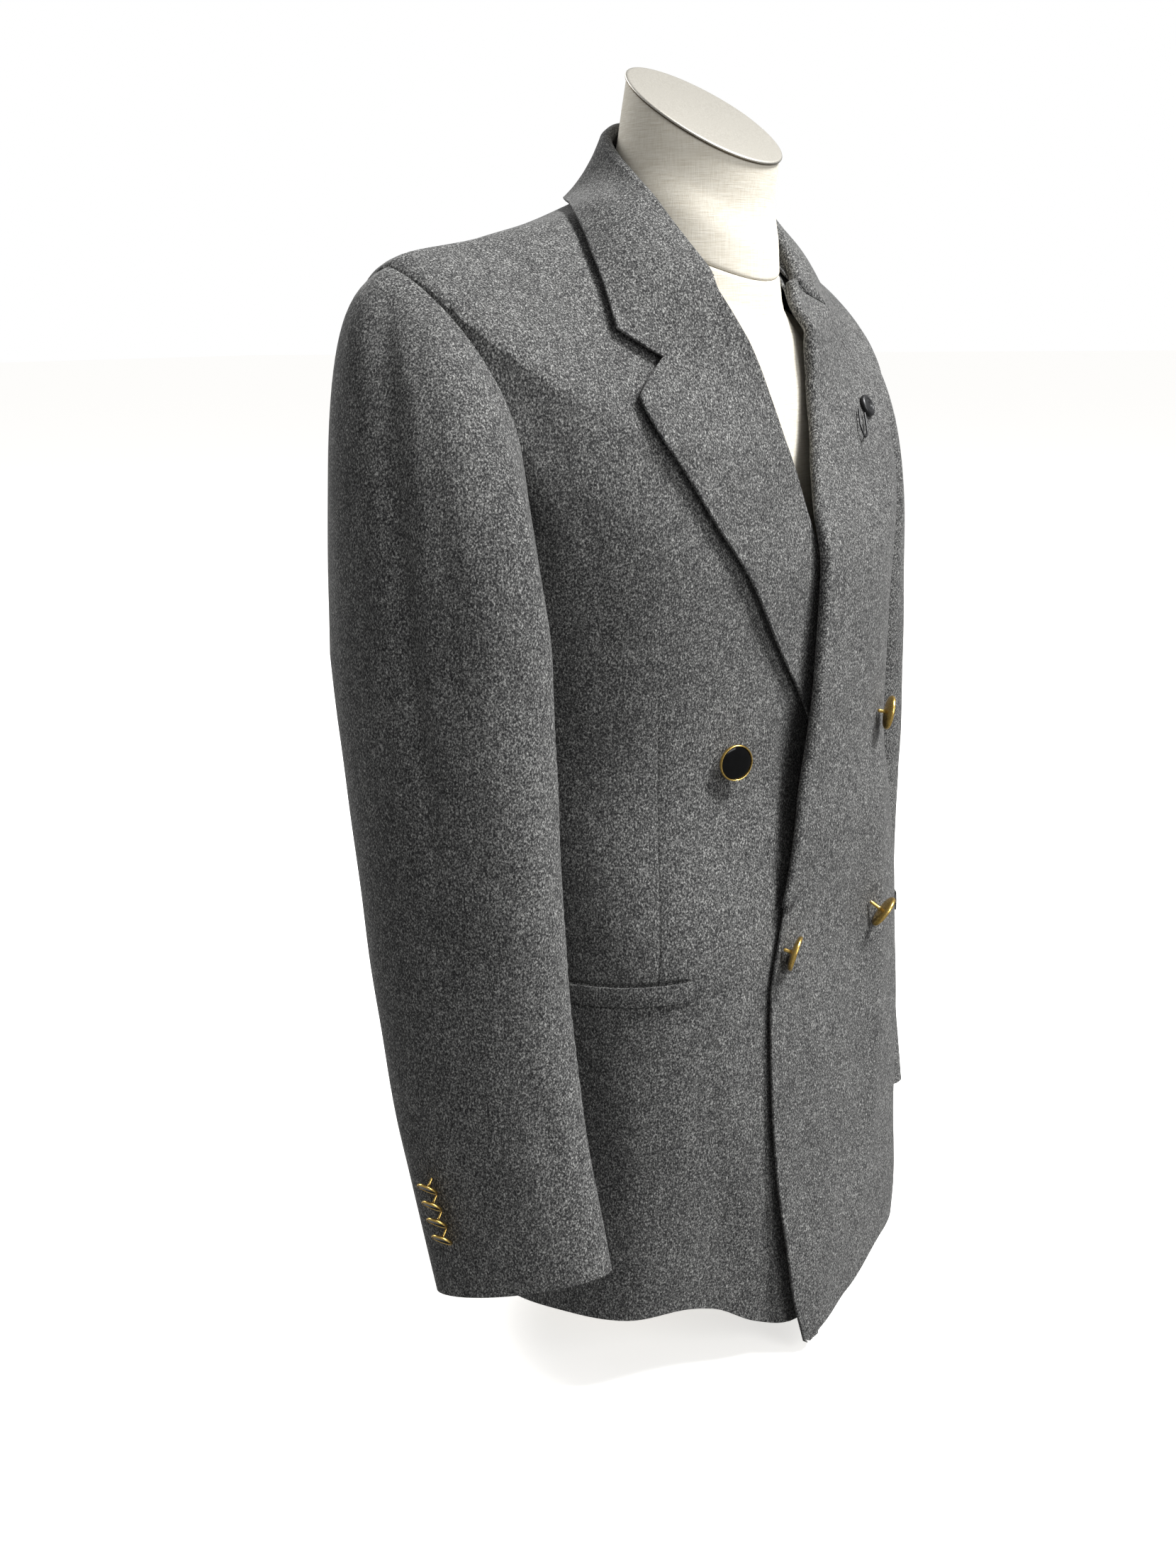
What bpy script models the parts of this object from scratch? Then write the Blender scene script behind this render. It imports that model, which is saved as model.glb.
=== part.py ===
# Double-breasted jacket of wool flannel on a limbless dress form that stands on its own base plate.
# Metres, +Z up. Front is -Y and the wearer's left is +X. The origin is the middle of the base plate's
# underside. Cloth pieces are walls worked out on one body surface, given by an angle round the body
# (0 at the centre front, 90 at the side, 180 at the centre back) and a level (the height at which a
# ring of that surface crosses the centre front).

import math

import bmesh
import bpy
import numpy as np

# ---- driving sizes ----
CLOTH = 0.0020            # flannel with its interlining
SEAM = 0.0003             # gap between two pieces at a seam
HEM = 0.017               # lowest level of the body
ARMPIT = 0.540            # level of the bottom of the armhole
SHOULDER_TIP = 0.610      # level of the ring through the shoulder point
NECK = 0.714              # level of the neck seam
GORGE = 0.7101            # level where collar and lapel meet on the roll line
LAPEL_BREAK = 0.3175      # level where the lapels start to turn back
HEM_TILT = 0.015          # the jacket hangs this much lower on its left
LAPEL_HEIGHT = 0.0065     # face of a lapel above the front
LAPEL_TAIL = 0.0030       # the same at the foot of the lapel
COLLAR_ROLL = 0.0045      # radius of the collar's fold
COLLAR_HEIGHT = 0.0055    # face of the collar's edge above the shoulders
ARMHOLE_FRONT = 0.50      # how far the armhole cuts into the front and the back
ARMHOLE_BACK = 0.46
WELT_THICK = 0.0014
BUTTON_RADIUS = 0.01225
CUFF_BUTTON_RADIUS = 0.0070
CUFF_BUTTON_STEP = 0.0104
NECK_LEAN = 0.05          # the neck's cap also falls this much towards the right
CAP_THICK = 0.0023        # metal cap on the neck
BASE_THICK = 0.0120


def table(columns, rows):
    return dict(zip(columns, np.array(rows, float).T))


RING = ("front_z", "side_z", "back_z", "front_y", "side_y", "back_y", "side_x",
        "front_square", "back_square", "fall")

# outer face of the jacket's body
BODY = table(RING, [
    (0.017, 0.030, 0.027, -0.148, -0.008, 0.112, 0.183, 2.8, 2.4, 2.0),
    (0.130, 0.132, 0.132, -0.150, -0.008, 0.118, 0.183, 3.0, 2.4, 2.0),
    (0.288, 0.288, 0.288, -0.147, -0.008, 0.108, 0.182, 3.2, 2.4, 2.0),
    (0.420, 0.420, 0.420, -0.132, -0.005, 0.092, 0.180, 2.5, 2.3, 2.0),
    (0.500, 0.500, 0.500, -0.134, -0.002, 0.100, 0.193, 2.5, 2.3, 2.0),
    (0.540, 0.545, 0.545, -0.136, 0.000, 0.105, 0.206, 2.5, 2.3, 2.0),
    (0.575, 0.660, 0.620, -0.131, 0.010, 0.104, 0.236, 2.5, 2.4, 1.5),
    (0.610, 0.738, 0.690, -0.127, 0.020, 0.094, 0.242, 2.5, 2.5, 1.3),
    (0.662, 0.757, 0.744, -0.118, 0.006, 0.068, 0.162, 2.3, 2.3, 1.3),
    (0.714, 0.776, 0.786, -0.118, -0.012, 0.028, 0.074, 3.0, 2.2, 1.3),
])

# linen-covered torso, then the neck up to its slanted metal cap
TORSO = table(RING, [
    (0.0125, 0.0125, 0.0125, -0.058, 0.000, 0.058, 0.084, 2.2, 2.2, 2.0),
    (0.050, 0.050, 0.050, -0.080, 0.000, 0.078, 0.112, 2.2, 2.2, 2.0),
    (0.130, 0.130, 0.130, -0.102, -0.002, 0.088, 0.142, 2.2, 2.2, 2.0),
    (0.220, 0.220, 0.220, -0.110, -0.004, 0.088, 0.150, 2.2, 2.2, 2.0),
    (0.320, 0.320, 0.320, -0.108, -0.004, 0.080, 0.144, 2.2, 2.2, 2.0),
    (0.420, 0.420, 0.420, -0.104, -0.004, 0.066, 0.136, 2.2, 2.2, 2.0),
    (0.500, 0.500, 0.500, -0.110, -0.002, 0.074, 0.148, 2.2, 2.2, 2.0),
    (0.560, 0.580, 0.570, -0.1140, 0.000, 0.080, 0.160, 2.4, 2.2, 2.0),
    (0.600, 0.660, 0.640, -0.1125, 0.004, 0.078, 0.172, 2.6, 2.2, 1.6),
    (0.640, 0.710, 0.696, -0.1080, 0.006, 0.060, 0.160, 2.6, 2.2, 1.4),
    (0.680, 0.733, 0.730, -0.1030, 0.000, 0.040, 0.122, 2.5, 2.2, 1.4),
    (0.706, 0.745, 0.752, -0.099, -0.010, 0.024, 0.0760, 2.2, 2.2, 1.6),
    (0.728, 0.757, 0.768, -0.099, -0.020, 0.0145, 0.0650, 2.1, 2.1, 1.7),
])
TORSO_HOLLOW = (-0.0070, 0.0050, -0.002)    # the left of the torso's neck is this much flatter
FORM_NECK = table(RING, [
    (0.7283, 0.7573, 0.7683, -0.099, -0.020, 0.0145, 0.0650, 2.1, 2.1, 1.7),
    (0.748, 0.782, 0.798, -0.0985, -0.031, 0.008, 0.0600, 2.1, 2.1, 1.7),
    (0.771, 0.808, 0.835, -0.096, -0.043, 0.006, 0.0535, 2.0, 2.0, 1.4),
    (0.802, 0.8355, 0.868, -0.100, -0.0495, 0.001, 0.0505, 2.0, 2.0, 1.0),
])

# front edge up to the lapel break, then the roll line up to the neck; degrees from the centre
# front towards the piece's own side
FRONT_EDGE_RIGHT = table(("level", "angle"), [
    (0.017, -23.0), (0.317, -23.5), (0.390, -16.3), (0.470, -7.9), (0.543, -0.2), (0.580, 3.3),
    (0.620, 6.9), (0.640, 9.5), (0.660, 14.4), (0.680, 23.0), (0.690, 30.0), (0.700, 38.8),
    (0.7101, 50.6), (0.714, 61.0),
])
FRONT_EDGE_LEFT = table(("level", "angle"), [
    (0.017, -15.4), (0.064, -19.6), (0.190, -23.0), (0.240, -22.8), (0.262, -22.4), (0.300, -19.4),
    (0.3175, -17.8), (0.340, -15.4), (0.375, -12.4), (0.420, -8.2), (0.460, -5.4), (0.500, -3.3),
    (0.530, -2.2), (0.560, -0.9), (0.582, 1.0), (0.615, 5.0), (0.640, 9.2), (0.662, 13.8),
    (0.680, 17.2), (0.690, 21.0), (0.700, 31.3), (0.7101, 43.3), (0.714, 57.5),
])
# how far the left front's face stands off the body surface near its free edge
LEFT_STAND_OFF = table(("level", "gap"), [
    (0.017, 0.0120), (0.064, 0.0130), (0.130, 0.0080), (0.190, 0.0060), (0.289, 0.0048),
    (0.317, 0.0070), (0.340, 0.0105), (0.380, 0.0160), (0.450, 0.0170), (0.500, 0.0150),
    (0.530, 0.0130), (0.560, 0.0110), (0.590, 0.0040), (0.615, -0.0020), (0.660, -0.0060),
    (0.690, -0.0080), (0.714, -0.0030),
])
STAND_OFF_FULL = 28.0     # degrees from the centre front
STAND_OFF_ENDS = 60.0
# beside the neck the left front sits closer in, above this level
LEFT_NECK_LEVEL = 0.690
LEFT_NECK_SHIFT = (-0.014, 0.010, -0.001)
# the left front's corner hangs lower than the rest of the hem
CORNER_DROP = table(("angle", "drop"), [(-18.0, 0.0165), (-8.0, 0.0080), (4.0, 0.0), (90.0, 0.0)])
# the hem rises away from the front corners; angles are counted from the right round to the left
HEM_RISE = table(("angle", "rise"), [
    (-180, 0.018), (-130, 0.014), (-87, 0.011), (-70, 0.016), (-56, 0.019), (-44, 0.024),
    (-36, 0.021), (-26, 0.008), (-15, 0.000), (3, 0.005), (22, 0.0285), (45, 0.034), (90, 0.036),
    (130, 0.028), (180, 0.018),
])
HEM_RISE_FADES = 0.27     # level above which the rows run level again

# free edges of the turned-back cloth, in the same angles and levels
LAPEL_EDGE_RIGHT = table(("share", "angle", "level"), [
    (0.00, 39.9, 0.6294), (0.04, 36.0, 0.6176), (0.09, 32.0, 0.6024), (0.17, 27.7, 0.5803),
    (0.30, 22.4, 0.5450), (0.46, 14.7, 0.4985), (0.64, 3.8, 0.4471), (0.82, -9.5, 0.3850),
    (1.00, -22.6, 0.3190),
])
LAPEL_EDGE_LEFT = table(("share", "angle", "level"), [
    (0.00, 39.9, 0.6294), (0.04, 36.4, 0.6176), (0.09, 32.8, 0.6024), (0.17, 27.0, 0.5803),
    (0.28, 18.6, 0.5441), (0.46, 12.6, 0.4900), (0.64, 9.0, 0.4400), (0.80, 2.0, 0.3780),
    (0.92, -8.0, 0.3400), (1.00, -16.4, 0.3190),
])
NOTCH = (40.5, 0.6540)
COLLAR_TIP = (51.2, 0.6547)

# collar from the centre back to the gorge: its fold, its free edge on the body and its foot
COLLAR = table(("roll_x", "roll_y", "roll_z", "edge_angle", "edge_level", "foot_angle", "bulge",
                "left_in", "left_back", "left_down"), [
    (0.000, 0.0150, 0.8310, 180.0, 0.7020, 180.0, 0.0020, 0.0, 0.0, 0.0),
    (0.036, 0.0045, 0.8225, 150.0, 0.7095, 150.0, -0.0020, 0.0, 0.0, 0.0),
    (0.0600, -0.0240, 0.8020, 113.0, 0.7095, 110.0, -0.0020, 0.0, 0.0, 0.0),
    (0.0680, -0.0480, 0.7840, 89.6, 0.7013, 80.0, 0.0040, 0.0, 0.0, 0.0),
    (0.0710, -0.0730, 0.7580, 73.2, 0.6871, 66.0, 0.0070, 0.005, 0.000, 0.007),
    (0.0700, -0.0930, 0.7360, 63.1, 0.6753, 55.0, 0.0060, 0.012, 0.006, 0.005),
])

# long folds of the skirt: where, how wide, how deep at the hem, and where they run out
SKIRT_FOLDS = table(("angle", "width", "depth", "top"), [
    (-62, 16, 0.007, 0.26), (-38, 11, -0.010, 0.26), (-14, 14, 0.008, 0.22),
    (60, 16, 0.008, 0.25), (38, 14, -0.006, 0.22), (100, 16, 0.006, 0.20),
    (-100, 14, -0.006, 0.20), (150, 18, 0.007, 0.22), (172, 12, -0.006, 0.22),
    (-160, 14, 0.006, 0.20), (-130, 16, -0.005, 0.20), (128, 14, -0.005, 0.20),
])

# sleeve sections below the armhole
SLEEVE = table(("z", "out_x", "centre_y", "half_x", "half_y", "turn", "rise"), [
    (0.505, 0.253, -0.019, 0.046, 0.078, 0.0, 0.000),
    (0.400, 0.2550, -0.028, 0.045, 0.073, 0.0, 0.000),
    (0.302, 0.2560, -0.038, 0.042, 0.066, 5.0, 0.002),
    (0.212, 0.2565, -0.0528, 0.037, 0.0608, 12.0, 0.005),
    (0.114, 0.2565, -0.0768, 0.030, 0.0560, 21.0, 0.010),
])
LEFT_SLEEVE_BACK = 0.042      # the left sleeve hangs this much further back,
LEFT_SLEEVE_IN = 0.006        # closer to the body
LEFT_SLEEVE_DROP = 0.030      # and lower at the cuff
# long troughs down the sleeve from the shoulder point: place round it, width, depth, reach
SLEEVE_TROUGHS = table(("place", "width", "depth", "reach"), [
    (0.030, 0.050, 0.0050, 0.62), (0.860, 0.050, 0.0030, 0.50), (0.440, 0.060, 0.0030, 0.50),
])
FRONT_SLEEVE_SEAM = 0.36      # share of the way round from the top, over the front
BACK_SLEEVE_SEAM = 0.72

# front buttons: side, angle and level where sewn, way they face and how far they hang down
FRONT_BUTTONS = [
    ("button_upper_right", -1, 27.3, 0.4240, -27.0, 4.0),
    ("button_upper_left", 1, 24.0, 0.4325, 38.0, 12.0),
    ("button_lower_right", 1, -19.1, 0.2925, 24.0, 18.0),
    ("button_lower_left", 1, 17.4, 0.2990, 32.0, 38.0),
]
SHANK = 0.0052


def smooth(xs, ys, x):
    # monotone cubic through the points of a table
    x = np.clip(x, xs[0], xs[-1])
    slope = np.diff(ys) / np.diff(xs)
    bend = np.concatenate(([slope[0]], np.zeros(len(xs) - 2), [slope[-1]]))
    for i in range(1, len(xs) - 1):
        if slope[i - 1] * slope[i] > 0:
            a = xs[i] - xs[i - 1]
            b = xs[i + 1] - xs[i]
            bend[i] = 3 * (a + b) / ((2 * b + a) / slope[i - 1] + (b + 2 * a) / slope[i])
    i = np.clip(np.searchsorted(xs, x, side="right") - 1, 0, len(xs) - 2)
    w = xs[i + 1] - xs[i]
    t = (x - xs[i]) / w
    start = (2 * t**3 - 3 * t**2 + 1) * ys[i] + (t**3 - 2 * t**2 + t) * w * bend[i]
    end = (3 * t**2 - 2 * t**3) * ys[i + 1] + (t**3 - t**2) * w * bend[i + 1]
    return start + end


def look_up(tab, key, name, x):
    return smooth(tab[key], tab[name], x)


def unit(v):
    return v / np.maximum(np.linalg.norm(v, axis=-1, keepdims=True), 1e-12)


def ease(x):
    x = np.clip(x, 0.0, 1.0)
    return x * x * (3 - 2 * x)


def ring_point(tab, angle, level):
    # a point on a surface of rings: each is a squared oval whose height falls from side to front
    a = np.radians(angle)
    row = {name: look_up(tab, "front_z", name, level) for name in RING}
    front = np.cos(a) >= 0
    square = np.where(front, row["front_square"], row["back_square"])
    s, c = np.abs(np.sin(a)), np.abs(np.cos(a))
    k = (s**square + c**square) ** (-1 / square)
    depth = c * k
    reach_y = np.where(front, row["front_y"], row["back_y"]) - row["side_y"]
    reach_z = np.where(front, row["front_z"], row["back_z"]) - row["side_z"]
    x = row["side_x"] * np.sin(a) * k
    y = row["side_y"] + reach_y * depth
    z = row["side_z"] + reach_z * depth ** row["fall"]
    return np.stack([x, y, z], -1)


def body_point(angle, level):
    angle, level = np.broadcast_arrays(np.asarray(angle, float), np.asarray(level, float))
    p = ring_point(BODY, angle, level)
    low = np.clip(1 - level / 0.42, 0, 1) ** 1.5
    p[..., 2] -= HEM_TILT * low * np.sin(np.radians(angle))
    swell = np.zeros(angle.shape)
    for at, width, depth, top in zip(*SKIRT_FOLDS.values()):
        off = ((angle - at + 180) % 360 - 180) / width
        swell += depth * np.exp(-off**2) * np.clip(1 - level / top, 0, 1) ** 1.3
    out = p - np.stack([0 * angle, 0 * angle + look_up(BODY, "front_z", "side_y", level),
                        p[..., 2]], -1)
    return p + unit(out) * swell[..., None]


def body_normal(angle, level):
    step_a, step_l = 0.02, 0.0002
    round_body = body_point(angle + step_a, level) - body_point(angle - step_a, level)
    up_body = body_point(angle, level + step_l) - body_point(angle, level - step_l)
    return unit(np.cross(round_body, up_body))


def panel_point(side, own, level, height=0.0):
    # a point on one side's cloth; own is the angle towards that side, height is above its face
    angle, level = np.broadcast_arrays(side * np.asarray(own, float), np.asarray(level, float))
    around = (angle + 180) % 360 - 180
    level = level + look_up(HEM_RISE, "angle", "rise", around) * np.clip(
        (HEM_RISE_FADES - level) / (HEM_RISE_FADES - HEM), 0, 1)
    p = body_point(angle, level)
    n = body_normal(angle, level)
    gap = np.asarray(height, float)
    if side > 0:
        fade = ease((STAND_OFF_ENDS - angle) / (STAND_OFF_ENDS - STAND_OFF_FULL))
        gap = gap + look_up(LEFT_STAND_OFF, "level", "gap", level) * fade
        drop = look_up(CORNER_DROP, "angle", "drop", angle) * np.clip(1 - level / 0.25, 0, 1) ** 2
        p = p - np.stack([0 * drop, 0 * drop, drop], -1)
        close = ease((level - LEFT_NECK_LEVEL) / 0.018) * ease((85 - angle) / 40)
        p = p + close[..., None] * np.array(LEFT_NECK_SHIFT)
    return p + n * gap[..., None]


def panel_normal(side, own, level):
    step_a, step_l = 0.05, 0.0004
    own, level = np.broadcast_arrays(np.asarray(own, float), np.asarray(level, float))
    round_body = panel_point(side, own + step_a, level) - panel_point(side, own - step_a, level)
    up_body = panel_point(side, own, level + step_l) - panel_point(side, own, level - step_l)
    return unit(np.cross(round_body, up_body) * side)


def front_edge(side, level):
    tab = FRONT_EDGE_LEFT if side > 0 else FRONT_EDGE_RIGHT
    return look_up(tab, "level", "angle", level)


# ---------------- meshes ----------------

def make_material(name, colour, roughness, metallic=0.0):
    material = bpy.data.materials.new(name)
    material.use_nodes = True
    shader = material.node_tree.nodes["Principled BSDF"]
    shader.inputs["Base Color"].default_value = (*colour, 1.0)
    shader.inputs["Roughness"].default_value = roughness
    shader.inputs["Metallic"].default_value = metallic
    return material


def add_object(name, vertices, faces, material, sharp=40.0):
    mesh = bpy.data.meshes.new(name)
    mesh.from_pydata([tuple(v) for v in vertices], [], faces)
    work = bmesh.new()
    work.from_mesh(mesh)
    bmesh.ops.recalc_face_normals(work, faces=work.faces)
    work.to_mesh(mesh)
    work.free()
    mesh.shade_smooth()
    mesh.set_sharp_from_angle(angle=math.radians(sharp))
    mesh.materials.append(material)
    obj = bpy.data.objects.new(name, mesh)
    bpy.context.collection.objects.link(obj)
    return obj


def pull_in(grid, gap):
    # draws the four edges of a grid back by a seam gap
    out = grid.copy()
    out[0] += unit(grid[1] - grid[0]) * gap
    out[-1] += unit(grid[-2] - grid[-1]) * gap
    out[:, 0] += unit(grid[:, 1] - grid[:, 0]) * gap
    out[:, -1] += unit(grid[:, -2] - grid[:, -1]) * gap
    return out


def wall(name, face, normals, thick, material):
    # closed cloth wall: the grid that is seen, and its copy moved in along the normals
    face = pull_in(face, SEAM / 2)
    back = face - normals * thick
    rows, cols = face.shape[:2]
    count = rows * cols
    vertices = np.concatenate([face.reshape(-1, 3), back.reshape(-1, 3)])
    faces = []
    for i in range(rows - 1):
        for j in range(cols - 1):
            a, b = i * cols + j, (i + 1) * cols + j
            faces.append((a, a + 1, b + 1, b))
            faces.append((count + a, count + b, count + b + 1, count + a + 1))
    edge = [j for j in range(cols)]
    edge += [i * cols + cols - 1 for i in range(1, rows)]
    edge += [(rows - 1) * cols + j for j in range(cols - 2, -1, -1)]
    edge += [i * cols for i in range(rows - 2, 0, -1)]
    for a, b in zip(edge, edge[1:] + edge[:1]):
        faces.append((a, count + a, count + b, b))
    return add_object(name, vertices, faces, material)


def grid_normals(face, away):
    # normals of a grid, turned away from a point or, for a grid of points, from each of them
    across = np.gradient(face, axis=1)
    along = np.gradient(face, axis=0)
    n = unit(np.cross(across, along))
    sign = np.sign(np.sum(n * (face - away), -1).mean())
    return n * (sign if sign else 1.0)


def spun(name, profile, place, axis, material, steps=28):
    # turned piece: profile of (radius, height) pairs about its own axis, closed on the axis
    axis = unit(np.array(axis, float))
    side = unit(np.cross(axis, (0.0, 0.0, 1.0)))
    up = np.cross(side, axis)
    vertices = []
    rings = []
    for radius, height in profile:
        centre = np.array(place) + axis * height
        if radius == 0:
            rings.append([len(vertices)])
            vertices.append(centre)
            continue
        rings.append(list(range(len(vertices), len(vertices) + steps)))
        for t in np.arange(steps) * 2 * math.pi / steps:
            vertices.append(centre + radius * (math.cos(t) * side + math.sin(t) * up))
    faces = []
    for low, high in zip(rings, rings[1:]):
        for i in range(steps):
            j = (i + 1) % steps
            corners = [low[i % len(low)], low[j % len(low)], high[j % len(high)], high[i % len(high)]]
            faces.append(tuple(dict.fromkeys(corners)))
    return add_object(name, vertices, faces, material)


def ringed_solid(name, loops, material):
    # closed solid through loops of points, with a flat fan at each end
    steps = len(loops[0])
    vertices = [p for loop in loops for p in loop]
    faces = []
    for k in range(len(loops) - 1):
        for i in range(steps):
            j = (i + 1) % steps
            faces.append((k * steps + i, k * steps + j, (k + 1) * steps + j, (k + 1) * steps + i))
    for k, loop in ((0, loops[0]), (len(loops) - 1, loops[-1])):
        middle = len(vertices)
        vertices.append(np.mean(loop, axis=0))
        for i in range(steps):
            faces.append((k * steps + i, k * steps + (i + 1) % steps, middle))
    return add_object(name, vertices, faces, material)


# ---------------- body of the jacket ----------------

def armhole(share, cut):
    # share 0 is the bottom of the armhole, 1 the shoulder point; gives own angle and level
    turn = share * math.pi
    level = (ARMPIT + SHOULDER_TIP) / 2 - (SHOULDER_TIP - ARMPIT) / 2 * np.cos(turn)
    depth = cut * np.sin(turn) ** 0.7
    name = "front_square" if cut == ARMHOLE_FRONT else "back_square"
    square = look_up(BODY, "front_z", name, level)
    across = (1 - depth**square) ** (1 / square)
    angle = np.degrees(np.arctan2(across, depth))
    return (angle if cut == ARMHOLE_FRONT else 180 - angle), level


FRONT_START = 0.034       # share of the armhole at which the front's part of it starts
BACK_START = 0.284        # and the back's
FRONT_SIDE = float(armhole(FRONT_START, ARMHOLE_FRONT)[0])
BACK_SIDE = float(armhole(BACK_START, ARMHOLE_BACK)[0])
FRONT_SIDE_HEM = 93.0
BACK_SIDE_HEM = 130.0


def side_seam(level, hem_angle, top_angle, top_level):
    return hem_angle + (top_angle - hem_angle) * ease((level - 0.25) / (top_level - 0.25))


def panel_rows(cut, start, hem_angle, low_rows=12, arm_rows=9, top_rows=7):
    # levels of a panel's rows and the own angle of its outer edge on each
    arm_angle, arm_level = armhole(np.linspace(start, 1.0, arm_rows), cut)
    low = np.linspace(HEM, arm_level[0], low_rows + 1)[:-1]
    top = np.linspace(SHOULDER_TIP, NECK, top_rows + 1)[1:]
    level = np.concatenate([low, arm_level, top])
    outer = np.concatenate([side_seam(low, hem_angle, arm_angle[0], arm_level[0]), arm_angle,
                            np.full(top_rows, 90.0)])
    return level, outer


def make_front(side, name, material):
    level, outer = panel_rows(ARMHOLE_FRONT, FRONT_START, FRONT_SIDE_HEM)
    inner = front_edge(side, level)
    share = np.linspace(0, 1, 11)
    own = inner[:, None] + (outer - inner)[:, None] * share
    levels = np.repeat(level[:, None], len(share), 1)
    wall(name, panel_point(side, own, levels), panel_normal(side, own, levels), CLOTH, material)


def make_back(side, name, material):
    level, outer = panel_rows(ARMHOLE_BACK, BACK_START, BACK_SIDE_HEM)
    share = np.linspace(0, 1, 8)
    own = 180.0 + (outer - 180.0)[:, None] * share
    levels = np.repeat(level[:, None], len(share), 1)
    wall(name, panel_point(side, own, levels), panel_normal(side, own, levels), CLOTH, material)


def make_side(side, name, material):
    across = np.linspace(0, 1, 5)
    front_top = float(armhole(FRONT_START, ARMHOLE_FRONT)[1])
    back_top = float(armhole(BACK_START, ARMHOLE_BACK)[1])
    up = np.linspace(0, 1, 13)[:, None]
    levels = HEM + up * (front_top + (back_top - front_top) * across - HEM)
    first = side_seam(levels[:, :1], FRONT_SIDE_HEM, FRONT_SIDE, front_top)
    last = side_seam(levels[:, -1:], BACK_SIDE_HEM, BACK_SIDE, back_top)
    own = first + (last - first) * across
    wall(name, panel_point(side, own, levels), panel_normal(side, own, levels), CLOTH, material)


# ---------------- lapels and collar ----------------

FOLD_STEPS = 4
GORGE_STEPS = 4
TIP_STEPS = 3
NOTCH_SHARE = 0.62        # where the notch lies between the roll line and the lapel's tip


def fold(centre, radius, towards, up):
    # half round from the under side to the upper side of a fold, with its normals
    turn = np.linspace(0, math.pi, FOLD_STEPS)[:, None]
    spoke = -up * np.cos(turn) - towards * np.sin(turn)
    return centre + spoke * radius, spoke


def turned_row(side, path_angle, path_level, height):
    # one row of turned-back cloth along a path of own angles and levels on the front's face
    path = panel_point(side, path_angle, path_level, height)
    up = panel_normal(side, path_angle, path_level)
    root = panel_point(side, path_angle[0], path_level[0])
    towards = path[1] - path[0]
    towards = unit(towards - up[0] * np.dot(towards, up[0]))
    middle = (height - CLOTH) / 2
    start = root + up[0] * middle - towards * 6 * SEAM
    around, spokes = fold(start, middle + CLOTH, towards, up[0])
    return np.concatenate([around, path[1:]]), np.concatenate([spokes, up[1:]])


def broken_path(first, bend, last):
    share = np.concatenate([np.linspace(0, 1, GORGE_STEPS + 1),
                            1 + np.linspace(0, 1, TIP_STEPS + 1)[1:]])
    points = np.array([first, bend, last])
    return (np.interp(share, [0, 1, 2], points[:, 0]), np.interp(share, [0, 1, 2], points[:, 1]))


def lapel_height(level):
    return LAPEL_TAIL + (LAPEL_HEIGHT - LAPEL_TAIL) * ease((level - LAPEL_BREAK) / 0.10)


def make_lapel(side, name, material):
    tab = LAPEL_EDGE_LEFT if side > 0 else LAPEL_EDGE_RIGHT
    rows, normals = [], []
    for down in np.linspace(0, 1, 16) ** 1.4:
        root_level = GORGE + (LAPEL_BREAK + 0.002 - GORGE) * down
        root = float(front_edge(side, root_level))
        end = float(look_up(tab, "share", "angle", down))
        if down > 0.5:
            end = max(end, root + 1.2)
        end_level = float(look_up(tab, "share", "level", down))
        if down == 0:
            straight = np.array([root + (end - root) * NOTCH_SHARE,
                                 root_level + (end_level - root_level) * NOTCH_SHARE])
            bend = np.array(NOTCH) - straight
        middle = (root + (end - root) * NOTCH_SHARE + bend[0] * (1 - down) ** 8,
                  root_level + (end_level - root_level) * NOTCH_SHARE + bend[1] * (1 - down) ** 8)
        angle, level = broken_path((root, root_level), middle, (end, end_level))
        row, spokes = turned_row(side, angle, level, float(lapel_height(root_level)))
        rows.append(row)
        normals.append(spokes)
    rows[0] = rows[0] + unit(rows[1] - rows[0]) * SEAM
    wall(name, np.array(rows), np.array(normals), CLOTH, material)


def collar_stations(side, count):
    # fold, edge and foot points from the centre back to just short of the gorge
    index = np.arange(len(COLLAR["roll_x"]), dtype=float)
    where = np.linspace(0, index[-1], count)
    row = {key: smooth(index, values, where) for key, values in COLLAR.items()}
    roll = np.stack([side * row["roll_x"], row["roll_y"], row["roll_z"]], -1)
    if side > 0:
        roll += np.stack([-row["left_in"], row["left_back"], -row["left_down"]], -1)
    edge = panel_point(side, row["edge_angle"], row["edge_level"], COLLAR_HEIGHT)
    foot = panel_point(side, row["foot_angle"], np.full(count, NECK))
    return roll, edge, foot, row["bulge"]


def collar_rows(side, count=9):
    roll, edge, foot, bulge = collar_stations(side, count)
    along = np.gradient(roll, axis=0)
    share = np.concatenate([np.linspace(0, NOTCH_SHARE, GORGE_STEPS + 1),
                            np.linspace(NOTCH_SHARE, 1, TIP_STEPS + 1)[1:]])[1:, None]
    rows, normals, feet = [], [], []
    for i in range(count):
        towards = unit(edge[i] - roll[i])
        up = unit(np.cross(towards, along[i])) * -side
        around, spokes = fold(roll[i], COLLAR_ROLL, towards, up)
        top = around[-1]
        arch = 4 * share * (1 - share) * bulge[i]
        rows.append(np.concatenate([around, top + (edge[i] - top) * share + up * arch]))
        normals.append(np.concatenate([spokes, np.repeat(up[None], len(share), 0)]))
        feet.append((foot[i], around[0], up))
    return rows, normals, feet


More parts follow.
